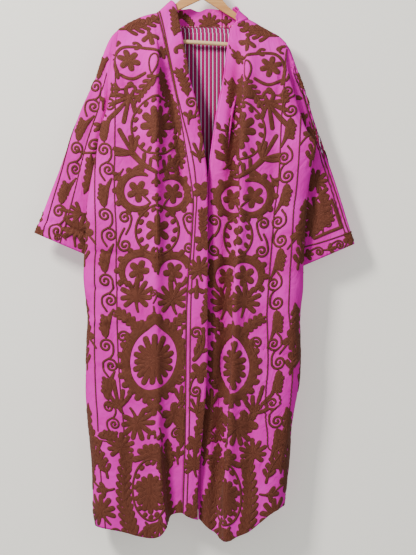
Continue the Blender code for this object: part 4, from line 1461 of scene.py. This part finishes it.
NECK_WORK = """
palmette 19 34 0 0.85
leaf -20 40 38 0.45
sprig -50 14 60 0.8
sprig 60 30 0 0.8
leaf -84 22 30 0.4
"""
NECK_BULGE = 1.5
TAPE_LINE = ((-100, 38), (0, 40), (100, 38))
TAPE_WIDTH = 3.2
TACK = 0.0035
TACKED = (0.75, 0.30, 0.50)
TAPE_STEPS = ((0.0, TACKED), (0.22, TACKED), (0.30, MAGENTA), (1.0, MAGENTA))
seam, edge = neck_line("seam"), neck_line("edge")
neck_coarse = np.stack((seam, mix(seam, edge, 0.5) + (0, NECK_BULGE, 0), edge), axis=0)
neck_band = Panel(refine(neck_coarse, BAND_CELL)[0], -1, 0)
neck_inside = Panel((neck_band.points - neck_band.normal * BAND_THICKNESS)[::-1], -1,
                    neck_band.points.shape[1] // 2)
neck_outside = Panel(neck_band.points[::-1], 1, neck_inside.grain)
piece = lay_cloth("back_neck_band_cloth", neck_band, cotton, cotton, BAND_THICKNESS)
neck_work = laid(NECK_WORK, straight) + lines(straight, 1, ((50, 4), (50, 44)), width=1.2)
stitches = sew("back_neck_band_embroidery", neck_inside, neck_work)
outside_stitches = sew("back_neck_band_outer_embroidery", neck_outside, neck_work)
tape, tree, shader = new_shader("magenta_tape", Roughness=0.7)
split = add_node(tree, "ShaderNodeSeparateXYZ", Vector=uv_map(tree, "stitch"))
tack = add_node(tree, "ShaderNodeMapRange", From_Max=TACK,
                Value=reckon(tree, "PINGPONG", split.outputs["Y"], TACK))
connect(tree, shader, Base_Color=colour_steps(tree, tack.outputs["Result"], TAPE_STEPS))
edging = sew("neck_edging", neck_inside, lines(straight, 1, TAPE_LINE, width=TAPE_WIDTH), tape)
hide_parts("band_back")

# The back is one width of the same cotton, lined and stitched like the fronts, with one
# more column of figures down its middle. It is sewn to them at the shoulders and the
# sides, and hangs near the wall in soft folds.
BACK_PLANE = Table(
    "height y",
    (-190, 12), (-240, 17), (-300, 20), (-400, 22), (-700, 23), (-1000, 25), (-1400, 25),
)
BACK_FOLDS = Table(
    "x depth half_width start",
    (-205, 5, 24, -520),
    (-128, 8, 30, -260),
    (-34, 5, 26, -420),
    (52, 8, 34, -300),
    (132, 6, 26, -380),
)
BACK_HEM = Table(
    "x height",
    (-266, -1401), (-235, -1388), (-150, -1376), (0, -1366), (110, -1366), (165, -1374),
    (191, -1350),
)
BACK_CORNERS = (-266, 191)
BACK_TURN = 16
BACK_WIDENS = 420
BACK_INSET = 26
BACK_LOW = -1370.0
RIGHT_SHOULDER_COLUMNS = (-180, -150)
LEFT_SHOULDER_COLUMNS = (130, 160)
FOLD_STARTS = 260
GRAIN_ROW = 200


def back_plane(height, x):
    """Depth of the back at a height and an x, with its soft upright folds."""
    depth = BACK_PLANE("y", height)
    for fold_x, deep, wide, start in zip(*(BACK_FOLDS.columns[c] for c in
                                           ("x", "depth", "half_width", "start"))):
        depth = depth + deep * smooth((start - height) / FOLD_STARTS) * np.exp(
            -((x - fold_x) / wide) ** 2)
    return depth


def back_sheet():
    """Rows and columns of points on the back, from its right side seam to its left one."""
    seam = neck_line("seam", -SEAM_GAP)
    tops = [(x, 0, float(SHOULDER("height", x))) for x in RIGHT_SHOULDER_COLUMNS]
    tops += [tuple(p) for p in seam]
    tops += [(x, 0, float(LEFT_SHOULDER("height", x))) for x in LEFT_SHOULDER_COLUMNS]
    even = np.linspace(0, 1, len(tops) + 2)[1:-1]
    sheet = np.zeros((len(ROWS), len(tops) + 8, 3))

    def set_column(c, top, low, top_y, place):
        """Fills a column from its top to its hem, eased off the hanger's round top."""
        height = mix(top, low, ROWS)
        x, y = place(height)
        cover = np.maximum(arc(top - height), top_y)
        y = mix(cover, y, smooth((top - height) / SHOULDER_FALL)) + SEAM_GAP / 2
        sheet[:, c] = np.stack((x, y, height), axis=-1)

    for side, out, first, shoulder, top_corner, low_corner in (
            (RIGHT_SIDE, -1, 0, SHOULDER, RIGHT_CORNERS[0], BACK_CORNERS[0]),
            (LEFT_SIDE, 1, sheet.shape[1] - 1, LEFT_SHOULDER, LEFT_CORNERS[0], BACK_CORNERS[1])):
        for k in range(4):
            def place(height, k=k):
                turn_x = side("roll", height) - out * BACK_TURN
                return side_stations(side, out, height, back_plane(height, turn_x), True)[k]
            top, low = shoulder("height", top_corner), BACK_HEM("height", low_corner)
            for _ in range(8 if k else 0):
                top = shoulder("height", place(top)[0])
                low = BACK_HEM("height", place(low)[0])
            set_column(first - out * k, top, low, 0.0, place)
    for k, (top_x, top_y, top) in enumerate(tops):
        def place(height):
            spread_out = smooth((top - height) / BACK_WIDENS)
            right = RIGHT_SIDE("roll", height) + BACK_INSET
            left = LEFT_SIDE("roll", height) - BACK_INSET
            x = mix(top_x, mix(right, left, even[k]), spread_out)
            return x, back_plane(height, x)
        low = BACK_LOW
        for _ in range(8):
            low = BACK_HEM("height", place(low)[0])
        set_column(k + 4, top, low, top_y, place)
    return sheet


BACK_CREASES = (
    (((-150, -300), (-140, -700), (-156, -1230)), 24, 17, -6.5),
    (((-60, -420), (-52, -800), (-66, -1300)), 14, 20, 4.5),
    (((24, -360), (14, -820), (34, -1310)), 20, 16, -6.5),
    (((142, -330), (134, -820), (150, -1250)), 18, 24, -5.9),
    (((-200, -612), (-120, -620), (-40, -630)), 8, 6, -2.9),
    (((10, -768), (80, -760), (150, -748)), 6, 8, 2.9),
    (((-150, -926), (-60, -930), (20, -940)), 8, 6, -2.6),
    (((40, -1042), (100, -1050), (170, -1064)), 6, 7, 2.6),
    (((-170, -250), (-120, -330), (-90, -420)), 9, 8, -3.9),
    (((150, -250), (110, -330), (84, -430)), 8, 9, -3.9),
)
back_coarse = back_sheet()
back_plain, _ = refine(back_coarse)
back_fine = crease(back_plain, 1, BACK_CREASES, 1)
middle = int(np.argmin(np.abs(back_fine[GRAIN_ROW, :, 0])))
back = Panel(back_fine, 1, middle, plain=back_plain)
piece = lay_cloth("back_cloth", back, cotton, lining)
# The back's middle column, between its two mirrored halves.
MIDDLE_WORK = """
palmette 0 70 0 1.2
frond -34 60 20 0.9
frond* 34 60 20 0.9
sprig 0 112 180 1.2
bloom -28 130 0 1.0
bloom* 28 130 0 1.0
flower 0 176 0 1.2
leaf -8 262 6 0.8
leaf* 8 262 6 0.8
sprig 0 292 0 1.1
palmette 0 336 0 1.1
sprig 0 372 180 1.0
wing 20 1110 20 1.0
wing* -20 1110 20 1.0
palmette 0 1160 0 1.3
sprig 0 1206 180 1.3
bloom 0 1246 0 1.2
"""
MIDDLE_AXIS = 19
for name, flip, axis_at in (("left", 1, -83), ("right", -1, 121)):
    back_axis = leaning_axis((0, axis_at))
    back_work = laid(FRONT_WORK + BORDER_END + SIDE_WORK, back_axis, flip)
    back_work += border(back_axis, flip, BORDER_MIDDLE, BORDER_TIPS)
    back_work += lines(back_axis, flip, *BORDER_LINES)
    back_work += lines(back_axis, flip, *ARCHES, width=ARCH_WIDTH)
    if flip > 0:
        back_work += laid(MIDDLE_WORK, leaning_axis((0, MIDDLE_AXIS)))
    sew(f"back_embroidery_{name}", back, back_work)
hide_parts("back")

# The back's lining is a loose width of striped cotton, which shows in the
# neckline. Its stripes are woven straight down.
LINING_GAP = 0.9
LINING_THICKNESS = 0.5
LINING_EDGE = -300
near = normals(back_coarse)[3:-1, 4:-4]
lining_coarse = back_coarse[3:-1, 4:-4] - near * (CLOTH + LINING_GAP)
back_lining = Panel(crease(refine(lining_coarse)[0], 1, BACK_CREASES, 1), 1, 0)
back_lining.across = back_lining.points[..., 0] - LINING_EDGE
piece = lay_cloth("back_lining_cloth", back_lining, lining, lining, LINING_THICKNESS)
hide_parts("back_lining")

# Each sleeve is a wide flat tube, sewn round the armhole and folded along its
# top. It hangs down beside the coat with its cuff open.
SLEEVE_THICKNESS = 23.0
SLEEVE_MIDDLE_Y = -3.0
SLEEVE_FLATNESS = 0.74
UNDERARM_CLEARANCE = 6.0
SLEEVE_CLEARANCE = 13.0
ARMHOLE_GAP = 0.5
RINGS_TO_OVAL = 3
RINGS_TO_EVEN = 4
ARMHOLE_THINNESS = 0.75
RIGHT_SLEEVE = Table(
    "ring top_x top_z under_z",
    (1, -223, -201, -507),
    (2, -234, -216, -518),
    (3, -247, -245, -534),
    (4, -267, -306, -556),
    (5, -286, -348, -579),
    (6, -304, -388, -602),
    (7, -322, -437, -627),
    (8, -338, -482, -652),
    (9, -354, -528, -677),
    (10, -379, -592, -704),
    (11, -402, -652, -730),
    (12, -418, -688, -747),
)
LEFT_SLEEVE = Table(
    "ring top_x top_z under_z",
    (1, 205, -238, -522),
    (2, 213, -258, -533),
    (3, 222, -284, -549),
    (4, 236, -320, -571),
    (5, 248, -356, -594),
    (6, 260, -398, -617),
    (7, 275, -444, -642),
    (8, 292, -494, -668),
    (9, 311, -548, -694),
    (10, 328, -600, -722),
    (11, 346, -658, -750),
    (12, 364, -715, -774),
)


def sleeve_sheet(out, side, rings, front_edge, back_edge):
    """Rings of points round a sleeve, from the armhole to the cuff."""
    count = UNDERARM
    front, behind = front_edge[:count + 1], back_edge[:count + 1]
    hole = np.concatenate((front, behind[-2:0:-1]))
    turn = 2 * math.pi * np.arange(2 * count) / (2 * count)
    drop = np.concatenate((ROWS[:count + 1], ROWS[count - 1:0:-1])) / ROWS[count]
    sheet = [hole]
    for ring in rings.key:
        top = np.array((rings("top_x", ring), SLEEVE_MIDDLE_Y, rings("top_z", ring)))
        under_z = rings("under_z", ring)
        seam_x = side("roll", under_z) - out * (side("tuck", under_z) + 1)
        clear = mix(UNDERARM_CLEARANCE, SLEEVE_CLEARANCE, smooth(ring - 1))
        under = np.array((seam_x + out * clear, SLEEVE_MIDDLE_Y, under_z))
        down = mix(drop, (1 - np.cos(turn)) / 2, smooth(ring / RINGS_TO_EVEN))
        early = 1 - smooth(ring / RINGS_TO_OVAL)
        thick = np.sin(turn) * mix(ARMHOLE_THINNESS, 1.0, 1 - early) * SLEEVE_THICKNESS / 2
        points = top + (under - top) * down[:, None]
        points[:, 1] = mix(SLEEVE_MIDDLE_Y - thick, hole[:, 1] * SLEEVE_FLATNESS, early)
        straight = mix(hole[0], hole[count], drop[:, None])
        points[:, 0] += early * (hole - straight)[:, 0]
        sheet.append(points)
    sheet = np.array(sheet)
    step = sheet[1] - sheet[0]
    sheet[0] = hole + step / np.linalg.norm(step, axis=-1, keepdims=True) * ARMHOLE_GAP
    return sheet


SLEEVE_CREASES = {
    "right_sleeve": (
        (((-412, -652), (-350, -672), (-270, -698)), 5, 7, -6.3),
        (((-412, -664), (-350, -684), (-270, -710)), 7, 6, 4.9),
        (((-262, -360), (-300, -500), (-350, -640)), 9, 8, -4.2),
        (((-240, -330), (-262, -430), (-290, -540)), 7, 8, 3.4),
        (((-236, -250), (-246, -300), (-262, -350)), 6, 6, -4.2),
    ),
    "left_sleeve": (
        (((200, -252), (222, -302), (243, -352), (264, -428), (290, -510)), 7, 6, -6.3),
        (((212, -250), (236, -312), (256, -372), (276, -440)), 6, 5, 3.6),
        (((268, -430), (296, -530), (328, -640), (346, -692)), 6, 8, -4.5),
        (((204, -226), (216, -262), (226, -290)), 4, 4, -4.2),
        (((214, -222), (226, -256), (238, -282)), 4, 4, 3.6),
        (((230, -560), (262, -620), (280, -690)), 9, 9, -4.2),
    ),
}
# Border figures lie on one face of a sleeve and field figures on the other, both from
# its top fold. The right sleeve turns the first face forward, the left one the second.
BORDER_SIDE = """
scroll 67 289 -60 1.3
sprig 64 238 150 1.0
leaf 84 408 4 1.05
fingers 92 458 100 0.7
palmette 102 500 0 1.35
frond 122 420 20 1.0
wing 112 330 10 1.0
bloom 112 250 0 1.2
sprig 52 180 10 1.1
sprig 60 110 170 1.2
leaf 26 540 70 0.6
scroll 60 530 90 0.6
bloom 132 528 0 0.8
"""
FIELD_SIDE = """
flower 24 232 0 0.9
sprig 30 190 0 0.9
leaf 50 300 20 0.8
palmette 48 345 0 0.95
sprig 46 378 60 1.1
leaf 98 476 33 1.25
leaf 104 470 60 0.9
scroll 52 452 40 0.7
scroll 42 426 200 0.6
wing 84 380 10 1.1
palmette 72 424 10 1.3
bloom 118 352 0 1.1
cup 100 300 20 0.9
frond 80 240 0 1.1
bloom 118 400 0 1.1
palmette 132 450 0 1.0
scroll 40 508 90 0.75
scroll 92 512 90 0.75
bloom 10 500 0 0.7
sprig 66 512 90 0.8
sprig 124 514 90 0.8
sprig 40 130 175 1.2
"""
SLEEVE_BORDER_MIDDLE = 5
SLEEVE_BORDER_TIPS = (134, 292, 450)
SLEEVE_BORDER_LINES = (((28, 60), (28, 200), (30, 540)), ((-18, 60), (-18, 300), (-18, 540)))
SLEEVE_LINES = (((8, 60), (8, 300), (8, 486)), ((17, 200), (17, 300), (17, 484)),
                ((0, 486), (130, 494)))
SLEEVE_ARCHES = (((25, 398), (23, 430), (22, 468)), ((22, 468), (60, 472), (94, 478)))
border_axis = leaning_axis((72, 0), (537, 40))
for name, out, side, rings, front_edge, back_edge, node, cut_area, front in (
        ("right_sleeve", -1, RIGHT_SIDE, RIGHT_SLEEVE, right_coarse[:, 0], back_coarse[:, 0],
         "sleeve_right", 0.098, "right_front_cloth"),
        ("left_sleeve", 1, LEFT_SIDE, LEFT_SLEEVE, left_coarse[:, 0], back_coarse[:, -1],
         "sleeve_left", 0.087, "left_front_cloth")):
    loop = sleeve_sheet(out, side, rings, front_edge, back_edge)
    loop = np.roll(loop, UNDERARM, axis=1)
    plain, column_at = refine(np.concatenate((loop[:, -2:], loop, loop[:, :3]), axis=1))
    kept = (column_at >= 2) & (column_at <= 2 + loop.shape[1])
    top_fold = nearest(column_at[kept] - 2, UNDERARM)
    fine = plain
    for facing in (-1, 1):
        fine = crease(fine, out, SLEEVE_CREASES[name], facing)
    fine = fine[:, kept]
    fine[:, -1] = fine[:, 0]
    fold = fine[:, top_fold]
    sleeve = Panel(fine, out, top_fold, hang=fold[-1] - fold[0], plain=plain[:, kept])
    piece = lay_cloth(name + "_cloth", sleeve, cotton, lining)
    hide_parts(node)
    sleeve_work = laid(BORDER_SIDE, straight) + laid(FIELD_SIDE, straight, -1)
    sleeve_work += border(border_axis, 1, SLEEVE_BORDER_MIDDLE, SLEEVE_BORDER_TIPS)
    sleeve_work += lines(border_axis, 1, *SLEEVE_BORDER_LINES) + lines(straight, -1, *SLEEVE_LINES)
    sleeve_work += lines(straight, -1, *SLEEVE_ARCHES, width=ARCH_WIDTH)
    stitches = sew(name + "_embroidery", sleeve, sleeve_work)

# The coat hangs just in front of a plain pale wall over a plain floor. One large soft
# light stands to the upper left, with weak ones at the right and behind.
WALL_Y = 0.05
FLOOR = -1.72
STAGE_SIDE = 4
WALL_TOP = 2.5
FLOOR_FRONT = -5
STAGE_GLOW = 0.43


def stage_material(name, colour):
    """Plain paint that only the camera sees, and only from its front."""
    material, tree, shader = new_shader(name, Roughness=0.9, Base_Color=colour,
                                        Emission_Color=colour, Emission_Strength=STAGE_GLOW)
    clear = tree.nodes.new("ShaderNodeBsdfTransparent")
    ray, face = tree.nodes.new("ShaderNodeLightPath"), tree.nodes.new("ShaderNodeNewGeometry")
    front = reckon(tree, "SUBTRACT", ray.outputs["Is Camera Ray"], face.outputs["Backfacing"])
    front.node.use_clamp = True
    shown = tree.nodes.new("ShaderNodeMixShader")
    for socket, output in zip(shown.inputs, (front, clear.outputs["BSDF"],
                                             shader.outputs["BSDF"])):
        tree.links.new(output, socket)
    connect(tree, tree.nodes["Material Output"], Surface=shown.outputs["Shader"])
    return material


def stage_plane(name, corners, colour):
    mesh = bpy.data.meshes.new(name)
    mesh.from_pydata(corners, [], [(0, 1, 2, 3)])
    mesh.materials.append(stage_material(name, (*colour, 1)))
    put_in_scene(name, mesh)


stage_plane("wall", [(-STAGE_SIDE, WALL_Y, FLOOR), (STAGE_SIDE, WALL_Y, FLOOR),
                     (STAGE_SIDE, WALL_Y, WALL_TOP), (-STAGE_SIDE, WALL_Y, WALL_TOP)],
            (0.91, 0.89, 0.83))
stage_plane("floor", [(-STAGE_SIDE, FLOOR_FRONT, FLOOR), (STAGE_SIDE, FLOOR_FRONT, FLOOR),
                      (STAGE_SIDE, WALL_Y, FLOOR), (-STAGE_SIDE, WALL_Y, FLOOR)],
            (0.82, 0.80, 0.76))


def area_light(name, place, aim, size, power, colour):
    light = bpy.data.lights.new(name, "AREA")
    light.shape = "RECTANGLE"
    light.size, light.size_y = size
    light.energy = power
    light.color = colour
    lamp = put_in_scene(name, light)
    lamp.location = place
    lamp.rotation_euler = (Vector(aim) - Vector(place)).to_track_quat("-Z", "Y").to_euler()


area_light("key", (-2.0, -2.2, 1.5), (0, 0, -0.7), (0.7, 0.9), 178, (1, 0.97, 0.93))
area_light("fill", (2.0, -3.0, -0.2), (0, 0, -0.8), (2.0, 2.2), 12, (0.95, 0.97, 1))
area_light("back_fill", (0.5, 3.0, 0.6), (0, 0, -0.7), (2.0, 2.0), 40, (1, 1, 1))

world = bpy.data.worlds.new("pale_room")
world.use_nodes = True
connect(world.node_tree, world.node_tree.nodes["Background"], Color=(0.93, 0.93, 0.90, 1),
        Strength=0.45)
bpy.context.scene.world = world

PHOTO_HEIGHT = 1.352
PHOTO_MIDDLE = (0.006, -0.797)
COAT_Y = -0.01
CAMERA_DISTANCE = 4.5
lens = bpy.data.cameras.new("photo_camera")
lens.sensor_width = 36
lens.lens = lens.sensor_width * CAMERA_DISTANCE / PHOTO_HEIGHT
camera = put_in_scene("photo_camera", lens)
camera.location = (PHOTO_MIDDLE[0], COAT_Y - CAMERA_DISTANCE, PHOTO_MIDDLE[1])
camera.rotation_euler = (math.pi / 2, 0, 0)
bpy.context.scene.camera = camera
